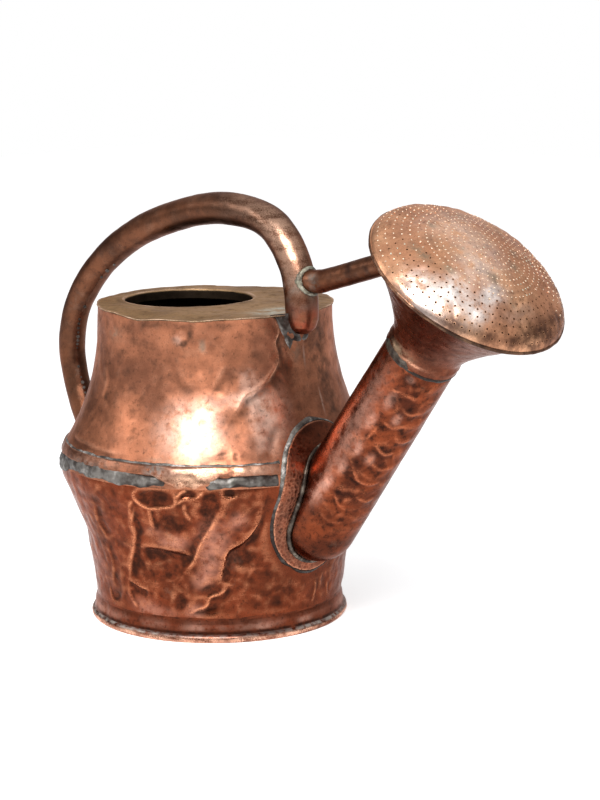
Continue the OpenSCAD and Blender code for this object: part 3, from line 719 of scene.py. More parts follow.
flange_copper = copper_finish("flange_copper", copper=(0.185, 0.052, 0.026), brown=(0.092, 0.031, 0.019),
                              dark=(0.020, 0.010, 0.008), bare_and_highlight=(0.62, 0.27, 0.16), pale=(0.29, 0.125, 0.080),
                              cloud=34.0, mottle=0.6, roughness=0.34, metal=1.0)
show_as(flange, flange_copper, "body_copper", "spout_flange")


def lead_finish(name, light, dark, scraped):
    """Old solder: dull grey, blotched dark and greenish, brighter where it has been scraped."""
    made, w, shader = new_finish(name)
    where = w.where()
    cloud, fine = w.noise(where, 60.0, 5.0, 0.65), w.noise(where, 420.0, 4.0, 0.6)
    green = w.band(w.noise(where, 33.0, 4.0, 0.6), 0.55, 0.70)
    colour = w.mix(w.band(cloud, 0.38, 0.62), dark, light)
    for share, over in ((w.times(green, 0.6), (0.085, 0.095, 0.062)),
                        (w.times(w.band(fine, 0.58, 0.72), 0.6), (0.020, 0.015, 0.012)),
                        (w.times(w.mask("wear"), w.band(fine, 0.3, 0.6)), scraped),
                        (w.mask("grime"), (0.022, 0.014, 0.011))):
        colour = w.mix(share, colour, over)
    bump = w.node("ShaderNodeBump", {"Height": fine, "Distance": 0.0006, "Strength": 0.7})
    w.feed(shader, {"Base Color": colour, "Roughness": w.plus(w.times(cloud, 0.3), 0.32), "Normal": bump.outputs[0],
                    "Metallic": w.math("SUBTRACT", 0.75, w.times(w.band(fine, 0.5, 0.7), 0.4))})
    return made


lead = lead_finish("lead_solder", (0.170, 0.155, 0.140), (0.050, 0.040, 0.034), (0.50, 0.47, 0.44))
sooty_lead = lead_finish("sooty_solder", (0.085, 0.066, 0.050), (0.024, 0.016, 0.012), (0.30, 0.26, 0.21))
limed_lead = lead_finish("limed_solder", (0.29, 0.28, 0.21), (0.070, 0.052, 0.038), (0.50, 0.49, 0.40))


def solder_from(name, node, material, grain=0.8, lump=0.4, soot=0.0):
    """An uneven hand-run solder joint in the place of the frame's plain one."""
    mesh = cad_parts[node].data.copy()
    merge_points(mesh, 1e-5)
    piece = make_piece(name, mesh)
    remesh = piece.modifiers.new("remesh", "REMESH")
    remesh.mode, remesh.voxel_size = "VOXEL", grain * 0.001
    soft = piece.modifiers.new("soft", "SMOOTH")
    soft.factor, soft.iterations = 0.6, 4
    settle(piece, 80)
    mesh = piece.data
    at, out = (np.zeros(len(mesh.vertices) * 3) for _ in range(2))
    mesh.vertices.foreach_get("co", at)
    mesh.vertex_normals.foreach_get("vector", out)
    p, out = at.reshape(-1, 3) * 1000, out.reshape(-1, 3)
    swell = 0.7 * rumple(p, 7, 51) + 0.4 * rumple(p, 3, 52) + 0.35
    p = p + out * (lump * swell)[:, None]
    mesh.vertices.foreach_set("co", (p * 0.001).ravel())
    paint(mesh, wear=swell * 0.9 - 0.2, grime=soot - swell * 0.9 - 0.1)
    show_as(piece, material, "lead_solder", node)


# a low uneven bead runs round the flange's edge, widest at its top where a greenish blob was left
turn, across = round_grid(520, np.linspace(0, 1, 11), 0)
wander = round_can(turn, 60, 0)
width = flange_solder_w * (0.46 + 0.26 * rumple(wander, 13, 61) + 0.25 * fade(np.abs(turn - 125), 50, 15))
width = width + 2.0 * np.exp(-((turn - 96) / 9) ** 2)
y, z = oval(1, turn, -0.6 + across * width)
lump = rumple(on_body_front(y, z, 0), 4, 62)
ridge = (flange_t - 0.1 + 0.5 * rumple(wander, 9, 63) + 0.35 * lump) * (1 - across ** 2) + 0.05
ridge = ridge * fade(across, 1.0, 0.85) + 0.8 * np.exp(-((turn - 96) / 8) ** 2) * np.sin(math.pi * across)
top = on_body_front(y, z, ridge)
y, z = oval(1, turn[:, :3], -0.6 + across[:, ::5][:, ::-1] * width[:, :3])
# The bead's lower half is painted dark as shade, and its lumps are lighter only on its upper part.
flange_bead = lined_piece("flange_solder_bead", top, on_body_front(y, z, -0.25), inside=0.0, sharp=60,
                          wear=np.clip(lump * 0.8 - 0.1, 0, 1) * fade(turn, 200, 150),
                          grime=0.95 * fade(turn, 155, 200) - 0.45 * lump)
show_as(flange_bead, lead, "lead_solder", "flange_solder")
solder_from("spout_root_fillet", "spout_root_solder", sooty_lead, 0.8, 0.3, 0.7)


# ------------------------------------------------------------------ upper shell
# The upper half of the body: a smoother sheet drawn in to the top plate. One sharp crease runs down
# from the plate's edge, and the sheet has gone a darker brown. Pale patches on it are painted highlights,
# and its right-hand side is painted darker as shade.

upper_shell = shell("upper_shell", waist_z, body_h - sheet, 108, {
    # Among the dark patches, those from -9 to 14 degrees are painted shade on the right-hand side, turned away from the
    # lamp.
    "grime": [(-59, 259, 3, 3, 0.45), (-63, 262, 7, 2, 0.5), (-56, 266, 3, 4, 0.5), (-53, 262, 6, 2, 0.4),
              (14, 225, 15, 54, 0.85), (3, 246, 14, 18, 0.7), (-9, 262, 8, 12, 0.7), (-8, 234, 10, 24, 0.7),
              (-42, 168, 5, 2, 0.6), (-37, 167, 2, 3, 0.5), (-55, 240, 9, 3, 0.3),
              (-92, 268, 14, 5, 0.7), (-104, 270, 10, 5, 0.6), (-72, 275, 30, 4, 0.8), (-42, 274, 16, 4, 0.6),
              (-84, 258, 16, 4, 0.45), (-98, 246, 12, 5, 0.35), (-40, 250, 10, 4, 0.3), (-88, 232, 8, 5, 0.3),
              (-110, 240, 14, 20, 0.3),
              (-118, 200, 16, 24, 0.3), (-86, 214, 5, 8, 0.3), (-70, 226, 4, 6, 0.3), (-96, 190, 8, 6, 0.35),
              (12, 262, 14, 10, 0.4), (-47, 166, 8, 3, 0.5), (-28, 165, 8, 3, 0.5)],
    # Pale patches: painted highlights, a broad one where the lamp falls on the shell and small glints on dents.
    "pale": [(-33, 212, 20, 6, 0.5), (-55, 187, 28, 22, 0.75), (-24, 196, 13, 26, 0.8), (-30, 226, 8, 14, 0.4),
             (1.5, 244, 0.8, 9, 0.9), (8, 203, 1.0, 10, 1.0),
             (-62, 262, 5, 4, 0.4), (-48, 205, 12, 10, 0.3), (-15, 200, 10, 20, 0.3)],
    "bloom": [(-50, 257, 4, 5, 0.6), (-4, 250, 7, 12, 0.35), (-100, 262, 12, 6, 0.4), (-64, 163.5, 14, 2, 0.5)]})
cut_away(upper_shell, bore)
upper_copper = copper_finish("upper_shell_copper", copper=(0.42, 0.160, 0.084), brown=(0.235, 0.090, 0.050),
                             dark=(0.060, 0.030, 0.020), bare_and_highlight=(0.80, 0.40, 0.25), pale=(0.74, 0.50, 0.40),
                             cloud=22.0, mottle=0.42, roughness=0.42, bump=0.0003)
show_as(upper_shell, upper_copper, "body_copper", "upper_body")


# ------------------------------------------------------------------ foot ring
# A band of copper flared out and rolled over a wire, so that the can stands on a round bead. It is
# soldered to the lower shell along its top, and years on stone floors have worn a flat underneath.

bead_r, foot_flare, wear_cut, base_ledge = 3.8, 5.0, 0.3, 3.0
bead_mid_r, bead_mid_z = foot_joint_r + foot_flare - bead_r, bead_r - wear_cut
ledge_r = foot_joint_r - sheet - base_ledge

cove = [(bead_mid_r + bead_r - (foot_flare - sheet) * math.cos(a),
         bead_mid_z + (foot_h - bead_mid_z) * (1 - math.sin(a)))
        for a in np.linspace(math.radians(14), math.radians(51), 12)]
roll = [(bead_mid_r + bead_r * math.cos(a), bead_mid_z + bead_r * math.sin(a))
        for a in np.linspace(math.radians(68), math.radians(-170), 28)]
profile = np.array([(ledge_r, base_z), (foot_joint_r - 1.0, base_z), (foot_joint_r - 0.05, foot_h)] + cove + roll
                   + [(ledge_r, bead_mid_z / 2)])
angle, k = round_grid(560, range(len(profile)))
ring = round_can(angle, profile[k, 0], profile[k, 1])
dent = 0.35 * rumple(ring, 18, 71) + 0.10 * rumple(ring, 7, 72)
dent = dent - 0.7 * np.exp(-((angle + 108) / 3.0) ** 2)
beaten = fade(profile[:, 1], 0.2, 2.0) * fade(profile[:, 1], foot_h, foot_h - 3) * fade(profile[:, 0], 108, 112)
ring = ring + round_can(angle, 1, 0) * (dent * beaten)[..., None]
ring[..., 2] = np.maximum(ring[..., 2], 0)
high = ring[..., 2]
first_roll, roll_shown = 3 + len(cove), 23
on_roll = (k >= first_roll) & (k < first_roll + roll_shown)
# A grey painted highlight along the cove above the bead, fainter on the front, laid on the bloom mask.
cove_highlight = np.clip(rumple(ring, 5, 75) + 0.9, 0, 1) * fade(np.abs(high - 6.2), 1.7, 0.6)
foot_ring = closed_piece(
    "foot_bead_ring", ring,
    wear=np.clip(0.75 + 0.5 * rumple(ring, 9, 73) + 0.3 * rumple(ring, 3, 74), 0, 1) * on_roll * fade(high, 5.8, 4.2),
    bloom=cove_highlight * (0.45 + 0.45 * np.maximum(fade(angle, -66, -78), fade(angle, -20, 0))),
    pale=np.clip(0.35 + 0.7 * rumple(ring, 14, 78), 0, 1) * fade(high, 9, 12) * fade(high, 19, 13),
    grime=0.85 * fade(np.abs(high - 8.4), 1.9, 0.6) + 0.22 * rumple(ring, 9, 75) + 0.05)
# Its bloom colour is the grey of that painted highlight.
foot_copper = copper_finish("foot_copper", copper=(0.155, 0.036, 0.016), brown=(0.105, 0.028, 0.014),
                            dark=(0.016, 0.009, 0.007), bare_and_highlight=(0.86, 0.50, 0.35), pale=(0.42, 0.22, 0.16),
                            bloom=(0.42, 0.39, 0.35),
                            cloud=38.0, mottle=0.42, bloom_amount=0.0, roughness=0.36, metal=1.0)
show_as(foot_ring, foot_copper, "body_copper", "foot_ring")

turn, across = round_grid(520, np.linspace(0, 1, 9))
line = round_can(turn, 110, 0)
fat = 0.02 + 0.10 * rumple(line, 12, 76) + 0.05 * rumple(line, 5, 77)
z = foot_h - 0.8 + across * (2.2 + 1.2 * rumple(line, 16, 78))
r = body_r(z) + fat * np.sin(math.pi * (0.12 + 0.88 * across)) + 0.05
bead = np.concatenate([round_can(turn, r, z), round_can(turn[:, :3], foot_joint_r - 1.0, z[:, ::4][:, ::-1])], 1)
foot_bead = closed_piece("foot_solder_bead", bead, 60, grime=0.35 + 0.6 * rumple(bead, 9, 79))
show_as(foot_bead, foot_copper, "lead_solder", "foot_solder")


# ------------------------------------------------------------------ bottom plate
# A plain disc of copper let into the foot, only seen from underneath, dark with damp.

bottom_copper = copper_finish("bottom_copper", copper=(0.17, 0.075, 0.045), brown=(0.09, 0.045, 0.030),
                              dark=(0.030, 0.020, 0.016), bloom=(0.14, 0.20, 0.16), cloud=18.0, mottle=0.8,
                              bloom_amount=0.7, roughness=0.5, metal=0.6)
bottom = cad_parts["base_plate"]
bottom.material_slots[0].material = bottom_copper


# ------------------------------------------------------------------ waist strap and its solder
# A thin copper strap covers the joint of the two shells. Under it runs a thick, knobbly line of
# solder that has broken away in places, and above it a thin grey-green seam.

lead_h, strap_h, strap_t, seam_h = 10.5, 8.5, 1.3, 2.5
strap_low = waist_z + lead_h
strap_high = strap_low + strap_h
strap_mid = strap_low + strap_h / 2


def flange_reach(z):
    """Angle in degrees at which the flange's solder ends at height z."""
    half = (flange_half_w + flange_solder_w) * np.sqrt(
        np.clip(1 - ((z - flange_z) / (flange_half_h + flange_solder_w)) ** 2, 0, 1))
    return np.degrees(np.arcsin(half / body_r(z)))


def capped(rings):
    """Closes a row of rings with points in the middle of its first and last rings."""
    first, last = (np.repeat(rings[k].mean(0)[None, None], rings.shape[1], 1) for k in (0, -1))
    return np.concatenate([first, rings, last], 0)


def band_round(low, high, thick, under, rows=9, stretches=700):
    """A closed band round the body, cut off at the flange. low, high and thick vary along it."""
    share, across = np.meshgrid(np.linspace(0, 1, stretches), np.linspace(0, 1, rows), indexing="ij")
    start = flange_reach(0.5 * (low(0.0) + high(0.0)))
    angle = start - 360 + share * (360 - 2 * start)
    z = low(angle) + across * (high(angle) - low(angle))
    dent = body_dents(angle.ravel(), z.ravel())[0].reshape(z.shape)
    back = np.s_[:, ::-((rows - 1) // 2)]
    face = round_can(angle, body_r(z) + dent + thick(angle, across, z), z)
    return capped(np.concatenate([face, round_can(angle[back], (body_r(z) + dent - under)[back], z[back])], 1))


def lumpy(grid, size, seed):
    """Masks of a lumpy bead: scraped on its lumps and dirty between them."""
    lumps = rumple(grid, size, seed)
    return {"wear": lumps * 1.1 - 0.15, "grime": np.clip(-lumps * 1.2 - 0.15, 0, 1)}


def strap_face(angle, across, z):
    edge = np.minimum(across, 1 - across)
    p, turn = strip(angle, z), turn_from(angle)
    beaten = 1 + 2.2 * fade(turn, -84, -70) * fade(turn, -18, -34)
    swell = (0.30 * rumple(p, 15, 81) + 0.22 * rumple(p, 7, 82)) * beaten * fade(edge, 0, 0.12)
    return strap_t * fade(edge, -0.06, 0.08) + swell


def strap_foot(angle):
    turn = turn_from(angle)
    p, hangs = strip(turn), fade(turn, -68, -60) * fade(turn, -43, -49)
    return strap_low - (8.6 + 1.6 * rumple(p, 6, 85)) * hangs + 0.4 * rumple(p, 8, 86)


strap_grid = band_round(strap_foot, lambda angle: strap_high + 0 * angle, strap_face, 0.1, rows=19)
x, z = turn_from(bearing(strap_grid)) * unroll, strap_grid[..., 2]
strap = closed_piece(
    "strap_band", strap_grid,
    # The worn edges of the strap, and painted highlights on its bulges; its pale patches are painted highlights too.
    wear=0.5 * fade(np.abs(z - strap_mid), 3.6, 4.2) * (0.5 + 0.6 * rumple(strap_grid, 9, 83))
    + spots(x, z, on_sheet([(-54, 149, 12, 5, 0.9), (-50, 156, 14, 4, 0.7), (-33, 157, 12, 3, 0.6)])),
    grime=0.8 * rumple(strap_grid, 11, 84) - 0.1,
    pale=spots(x, z, on_sheet([(-55, 155, 20, 6, 0.7), (-30, 156, 16, 6, 0.5), (-95, 157, 30, 4, 0.3)])),
    bloom=spots(x, z, on_sheet([(-67, 156, 8, 7, 1.0), (-100, 153, 26, 3, 0.6), (-128, 154, 20, 8, 0.6)])))
strap_copper = copper_finish("strap_copper", copper=(0.36, 0.140, 0.076), brown=(0.19, 0.076, 0.044),
                             dark=(0.045, 0.023, 0.017), bare_and_highlight=(0.84, 0.50, 0.33), pale=(0.62, 0.38, 0.28),
                             bloom=(0.150, 0.145, 0.130), cloud=45.0, mottle=0.6, bloom_amount=0.35, roughness=0.36)
show_as(strap, strap_copper, "body_copper", "waist_strap")


def run_left(angle):
    """How much of the thick solder run is left at each angle, from 0, broken away, to 1."""
    turn = turn_from(angle)
    gone = 0.95 * fade(turn, -66, -60) * fade(turn, -45, -50)
    patchy = 0.2 * np.exp(-((turn + 68) / 4.5) ** 2) + 0.15 * np.exp(-((turn + 37.5) / 2.5) ** 2)
    back = np.exp(-((turn - 96) / 6) ** 2) + 0.8 * np.exp(-((turn + 190) / 7) ** 2)
    return np.clip(1 - gone - patchy - back, 0, 1)


def run_sag(angle):
    return 10 * np.exp(-((turn_from(angle) + 138) / 17) ** 2)


def run_low(angle):
    p = strip(angle)
    return waist_z + 0.8 + 2.0 * rumple(p, 11, 91) + 1.1 * rumple(p, 4, 92) - run_sag(angle)


def run_high(angle):
    turn = turn_from(angle)
    wide = 2.6 * fade(turn, -70, -82) * fade(turn, -136, -118)
    return strap_low + 0.2 + wide + 1.1 * rumple(strip(angle), 9, 93) - run_sag(angle) * 0.55


def run_face(angle, across, z):
    p, left = strip(angle, z), run_left(angle)
    body = np.sin(math.pi * np.clip(0.1 + 0.85 * across, 0, 1)) ** 0.6
    knobs = 0.85 * rumple(p, 8, 94) + 0.55 * rumple(p, 3.6, 95) + 0.35 * (1 - 2 * hammer_marks(p, 7, 96))
    return (1.75 * body + knobs * body) * left - 1.0 * (1 - left) - 0.35 * (1 - body)


run_grid = band_round(run_low, run_high, run_face, 1.1, rows=17, stretches=760)
lumps = rumple(run_grid, 4, 97)
height = np.hypot(run_grid[..., 0], run_grid[..., 1]) - body_r(run_grid[..., 2])
turn = turn_from(bearing(run_grid))
dull = np.maximum(fade(turn, -44, -38), fade(turn, -112, -124))
lead_run = closed_piece("waist_lead_bead", run_grid, 60, wear=0.55 * fade(height, 1.8, 3.2) + 0.8 * lumps - 0.25,
                        grime=0.9 * fade(height, 1.3, 0.3) - 0.55 * lumps - 0.1 + 0.5 * dull)
show_as(lead_run, lead, "lead_solder", "waist_lead_run")


def seam_face(angle, across, z):
    p = strip(angle, z)
    return (0.42 + 0.35 * rumple(p, 9, 98) + 0.25 * rumple(p, 3, 99)) * np.sin(math.pi * (0.12 + 0.8 * across))


def seam_top(angle):
    p = strip(angle)
    return strap_high + seam_h - 1.1 + 0.8 * rumple(p, 10, 100) + 0.4 * rumple(p, 4, 101)


seam_grid = band_round(lambda angle: strap_high - 0.6 + 0 * angle, seam_top, seam_face, 0.3)
seam = closed_piece("waist_seam_bead", seam_grid, 60, **lumpy(seam_grid, 7, 102))
show_as(seam, lead, "lead_solder", "waist_seam_solder")


# ------------------------------------------------------------------ top plate
# A flat copper plate closes the body. Its round mouth lies towards the back, with the edge turned
# down into a short collar, and the plate's outer edge is ragged where it was dressed over the shell.

mouth_r, mouth_bend, mouth_collar, plate_r = 57.0, 2.5, 9.0, top_r + 0.8
mouth_x = -(top_r - 13.0 - mouth_r)

bend = np.linspace(math.pi / 2, math.pi, 7)
under_bend = body_h - mouth_bend
inner_bend = mouth_bend - sheet
face_shares = np.concatenate([[0, 0.008], np.linspace(0.02, 1, 62)])
# (share of the way from the plate's edge to the mouth, distance from the mouth's bend, height)
steps = [(u, 0.0, body_h) for u in face_shares]
steps += [(1, mouth_bend * math.cos(b), under_bend + mouth_bend * math.sin(b)) for b in bend[1:]]
steps += [(1, -mouth_bend, h) for h in np.linspace(under_bend - 1, body_h - mouth_collar, 5)]
steps += [(1, -inner_bend, body_h - mouth_collar), (1, -inner_bend, under_bend)]
steps += [(1, inner_bend * math.cos(b), under_bend + inner_bend * math.sin(b)) for b in bend[::-2][1:]]
steps += [(u, 0.0, body_h - sheet) for u in np.linspace(0.9, 0, 14)]
share, inward, height = np.array(steps).T
round_bend = np.arange(len(steps)) - len(face_shares)
trim = np.where((share > 0) & (share < 0.009) | (height < body_h - 1) & (share == 0), 0.35, 0)
turn, _ = round_grid(480, share, 0)
out = round_can(turn, 1, 0)
rim = np.array([mouth_x, 0.0, 0.0]) + out * (mouth_r + mouth_bend + inward)[:, None]
edge = out * (plate_r - trim)[:, None]
p = edge + (rim - edge) * share[:, None]
angle = bearing(p)
from_middle = np.hypot(p[..., 0], p[..., 1])
wave = 0.7 * rumple(p, 34, 111) + 0.28 * rumple(p, 12, 112) + 0.14 * (1 - 2 * hammer_marks(p, 14, 113))
seat = fade(np.hypot(p[..., 0] - 104, p[..., 1]), 16, 26)
ragged = (0.45 * rumple(p, 3.5, 114) + 0.5 * rumple(p, 9, 115)) * np.exp(-share * 60)
plate_grid = p + out * ragged[..., None]
wave = wave * np.where(inward == 0, 1.0, 0.35) * seat
plate_grid[..., 2] = height + wave - plate_dip(angle) * fade(from_middle, 78, 104)
from_edge = plate_r - np.hypot(plate_grid[..., 0], plate_grid[..., 1])
upper_face = round_bend < 2
rim_line = np.where(upper_face, np.exp(-(from_edge / 1.4) ** 2), 0)
mouth_line = fade(share, 0.99, 1.0) * (round_bend < 3)
gap = np.hypot(plate_grid[..., 0] - mouth_x, plate_grid[..., 1]) - mouth_r
toe_stain = np.exp(-(((p[..., 0] - 82) / 14) ** 2 + ((p[..., 1] + 8) / 24) ** 2) ** 1.3)
plate = closed_piece(
    "mouth_plate", plate_grid,
    wear=rim_line * (0.75 + 0.8 * rumple(p, 6, 116)) + 0.9 * mouth_line * (0.6 + 0.5 * rumple(p, 9, 117)),
    grime=(0.5 * np.exp(-((gap - 6) / 3) ** 2) + 0.5 * rumple(p, 17, 118) - 0.2) * upper_face,
    bloom=1.6 * toe_stain * upper_face, inside=(round_bend > 3) + 0 * gap)
plate_copper = copper_finish("plate_copper", copper=(0.420, 0.262, 0.130), brown=(0.270, 0.165, 0.080),
                             dark=(0.060, 0.034, 0.022), bare_and_highlight=(0.84, 0.60, 0.44), bloom=(0.40, 0.40, 0.34),
                             cloud=20.0, mottle=0.5, roughness=0.5, bump=0.0003)
show_as(plate, plate_copper, "plate_copper", "top_plate")


# ------------------------------------------------------------------ rose neck
# A trumpet of thin copper, its collar pushed over the spout's end and soldered there. The flare has
# gone almost black-red, and it carries the pierced face on its rim.

rose_r = 86.2
flare_r0, flare_end_r = tip_r + sheet, rose_r - 1


def flare_r(s):
    return flare_r0 + (flare_end_r - flare_r0) * (np.maximum(s - spout_len - collar_len, 0) / flare_len) ** 1.3


def neck_dents(angle, s):
    p = round_spout(angle, s, flare_r(s))
    lift = 0.35 * rumple(p, 22, 121) + 0.16 * rumple(p, 8, 122) + 0.14 * (1 - 2 * hammer_marks(p, 13, 123))
    return lift * fade(s, rim_s, rim_s - 8) * fade(s, spout_len - 1, spout_len + 5)


s_line = np.concatenate([[spout_len, spout_len + 0.4], np.linspace(spout_len + 1.5, rim_s, 76)])
angle, s = round_grid(300, s_line)
lift = neck_dents(angle, s)
lip_s = 205
lip = 0.5 * np.exp(-((s - lip_s) / 2.0) ** 2)
outer = round_spout(angle, s, flare_r(s) + lift + lip - 0.3 * (s < spout_len + 0.2))
angle_in, s_in = round_grid(300, np.concatenate([np.linspace(rim_s, 212, 22), [209, 204, spout_len]]))
wall_in = np.where(s_in > tip_s, sheet, sheet - 0.1)
inner = round_spout(angle_in, s_in, flare_r(s_in) - wall_in + neck_dents(angle_in, s_in))
crest, pit = relief(lift, 6)
turn = turn_from(angle, -250)
rubbed_lip = np.exp(-((s - lip_s) / 1.1) ** 2) * np.exp(-((turn + 117) / 16) ** 2)
streaky = rumple(strip(angle, s * 0.12, 0.9), 3.4, 124)
neck = lined_piece("rose_trumpet", outer, inner,
                   wear=0.45 * crest + 0.9 * rubbed_lip + 0.5 * fade(s, rim_s - 2.5, rim_s - 0.5),
                   grime=0.35 * pit + 0.40 * fade(s, 214, 236) + 0.22 * streaky,
                   pale=0.9 * np.exp(-((s - lip_s - 1.5) / 4) ** 2) * np.exp(-((turn + 80) / 26) ** 2))
neck_copper = copper_finish("rose_neck_copper", copper=(0.150, 0.045, 0.024), brown=(0.080, 0.027, 0.016),
                            dark=(0.028, 0.012, 0.010), bare_and_highlight=(0.62, 0.30, 0.19), pale=(0.36, 0.25, 0.16),
                            cloud=30.0, mottle=0.55, roughness=0.30, metal=1.0)
show_as(neck, neck_copper, "spout_copper", "rose_neck")


def neck_bead_edge(angle, at, seed, climb):
    """Where an edge of the bead runs along the spout; it climbs the collar on the right-hand side."""
    turn = turn_from(angle, -250)
    wander = 0.7 * rumple(strip(angle, per_degree=spout_unroll), 7, seed)
    return at + wander + climb * fade(turn, -116, -104) * fade(turn, -44, -58)


angle, across = round_grid(420, np.linspace(0, 1, 11))
low_s, high_s = neck_bead_edge(angle, spout_len - 3.0, 125, 0.0), neck_bead_edge(angle, spout_len + 0.5, 127, 4.0)
s = low_s + across * (high_s - low_s)
under = np.where(s < spout_len, spout_r(s), flare_r(s))
fat = (0.55 + 0.3 * rumple(round_spout(angle, s, under), 5, 128)) * np.sin(math.pi * (0.1 + 0.85 * across)) ** 0.7
on_collar = spout_r(s) + 1.25 * fat * fade(s, spout_len + 4, spout_len - 1)
back_s = s[:, ::5][:, ::-1]
bead = np.concatenate([round_spout(angle, s, np.maximum(under + 0.5 * fat, on_collar)),
                       round_spout(angle[:, :3], back_s, spout_r(back_s) - 0.3)], 1)
bead_masks = lumpy(bead, 5, 129)
# The bead is painted dark all round as shade, except on the side turned to the lamp.
bead_masks["grime"] += 0.95 * (1 - np.exp(-((turn_from(angle, -250) + 70) / 30) ** 2)[:, :1])
neck_bead = closed_piece("neck_solder_bead", bead, 60, **bead_masks)
show_as(neck_bead, sooty_lead, "lead_solder", "neck_solder")


# ------------------------------------------------------------------ rose face
# The domed face is beaten from sheet and pierced in rings. Its edge is rolled round a wire onto the
# trumpet's rim. Hard water has left green-grey runs and has closed many of the holes with lime.

dome_h, dome_power, rim_bead_r, shoulder, hole_d, hole_pitch, open_rings = 34.5, 1.18, 2.2, 4.0, 1.5, 6.5, 6
dome_a = np.radians(np.linspace(0, 90, 1441))
dome_line = np.stack([rose_r * np.cos(dome_a) ** dome_power, dome_h * np.sin(dome_a) ** dome_power], -1)
dome_line[-1, 0] = 0
dome_run = np.concatenate([[0], np.cumsum(np.linalg.norm(np.diff(dome_line, axis=0), axis=1))])


def on_dome(run, sink=0.0):
    """Radius and height at a distance along the dome from its rim, sunk below the face, and the way it runs there."""
    at, ahead, behind = (np.stack([np.interp(run + d, dome_run, dome_line[:, k]) for k in (0, 1)], -1)
                         for d in (0.0, 0.5, -0.5))
    step = ahead - behind
    step = step / np.linalg.norm(step, axis=-1, keepdims=True)
    return at - sink * np.stack([step[..., 1], -step[..., 0]], -1), step


def round_rose(plan):
    """Direction out from the rose's axis; plan is the angle round it, from the +Y side towards the handle."""
    a = np.radians(plan)[..., None]
    return np.cos(a) * left_of_spout + np.sin(a) * back_of_spout


def rose_point(plan, r, h):
    return heel + (rim_s + np.asarray(h))[..., None] * up_spout + np.asarray(r)[..., None] * round_rose(plan)


def face_lift(flat, r):
    """Height in mm of the rose's beaten face above its true dome."""
    band = 0.35 + 0.65 * fade(r, 40, 56)
    beaten = 0.50 * rumple(flat, 11, 132) + 0.42 * (1 - 2 * hammer_marks(flat, 15, 133))
    return 0.45 * rumple(flat, 30, 131) + band * beaten - 0.22 * np.exp(-((r - 47) / 1.6) ** 2)


last_run = dome_run[-1]
face_rh, _ = on_dome(np.concatenate([np.linspace(0.9, 10, 11)[:-1], np.linspace(10, last_run, 84)]))
roll = [(rose_r - rim_bead_r + sheet + rim_bead_r * math.cos(b), rim_bead_r * (math.sin(b) - 1 / 3))
        for b in np.radians(np.linspace(-150, 40, 17))[::-1]]
back_rh, _ = on_dome(np.linspace(3.5, last_run, 34), sheet)
back_rh[-1, 0] = face_rh[-1, 0] = 0
profile = np.concatenate([face_rh[::-1], roll, [(rose_r - 2.6, -0.2)], back_rh])
plan, k = round_grid(400, range(len(profile)), 0)
r, h = profile[k, 0], profile[k, 1]
flat = round_can(plan, r, 0)
u, v = flat[..., 0], flat[..., 1]
on_face = k < len(face_rh)
on_roll = (k >= len(face_rh)) & (k < len(face_rh) + len(roll))
lift = face_lift(flat, r) - 1.6 * np.exp(-(((u - 52) / 9) ** 2 + ((v + 22) / 12) ** 2))
h = h + np.where(r > 0.01, lift * fade(r, 85.5, 80), 0)
centre_h = np.where(on_face, dome_h, dome_h - sheet) + face_lift(np.zeros((1, 3)), np.zeros(1))[0]
in_centre = fade(r, 3, 0)
h = h * (1 - in_centre) + in_centre * centre_h
knock = (0.35 * rumple(flat, 9, 134) + 0.2 * rumple(flat, 4, 135)) * on_roll
stain = spots(u, v, [(-58, 14, 5, 15, 0.9), (-50, -9, 4, 8, 0.8), (-26, 38, 6, 5, 0.7), (26, -9, 6, 5, 0.7),
                     (13, -25, 6, 6, 0.7), (-18, -30, 6, 6, 0.8), (-13, -54, 6, 6, 0.8), (-70, -33, 5, 6, 0.8),
                     (-66, -14, 4, 6, 0.6), (-40, 20, 7, 10, 0.4), (0, 10, 14, 12, 0.25), (40, 20, 14, 16, 0.3),
                     (-30, 2, 8, 9, 0.4), (10, 48, 12, 8, 0.4), (56, 40, 8, 12, 0.3)])
# Painted shade along the lower and far edges of the face, away from the lamp.
shaded_edge = spots(u, v, [(22, -74, 30, 8, 0.9), (44, -70, 16, 10, 0.9), (-4, -78, 18, 5, 0.8), (66, -48, 9, 20, 0.7),
                       (52, -22, 9, 9, 0.35), (78, -14, 5, 22, 0.5)])
# Painted highlights where the lamp glints on the lower left of the face.
light_side = spots(u, v, [(-76, -20, 12, 24, 1.0), (-56, -28, 12, 14, 1.0), (-50, -50, 13, 10, 0.9),
                          (-28, -43, 13, 8, 0.9), (-12, -62, 18, 7, 0.15), (-30, -20, 14, 18, 0.35),
                          (-10, 0, 22, 30, 0.3), (0, 40, 40, 20, 0.25)])
# Painted shade on the lower left rim, under the face.
dark_rim = fade(r, 76, 83) * fade(np.abs(plan - 245), 95, 55)
# Darkening of the face: the painted shade above, a dark groove ring, and uneven dirt.
dirt_and_shade = shaded_edge + 0.9 * dark_rim + 0.22 * np.exp(-((r - 46.5) / 1.5) ** 2) + 0.3 * rumple(flat, 9, 137)
# Bright specks on the rolled edge, and a painted highlight on its left side.
rubbed_and_glint = 0.6 * rumple(flat, 6, 136) + 0.9 * rumple(flat, 2.6, 138) - 0.65 + spots(u, v, [(-81, -14, 8, 14, 0.8)])
face = closed_piece(
    "pierced_rose", rose_point(plan, r + knock, h), across=False, wear=rubbed_and_glint * on_roll,
    grime=dirt_and_shade * on_face + (dirt_and_shade + 0.85) * on_roll, pale=light_side * on_face, bloom=stain * on_face,
    inside=~(on_face | on_roll) + on_roll * (0.40 + 0.45 * fade(np.abs(plan - 262), 85, 50)))


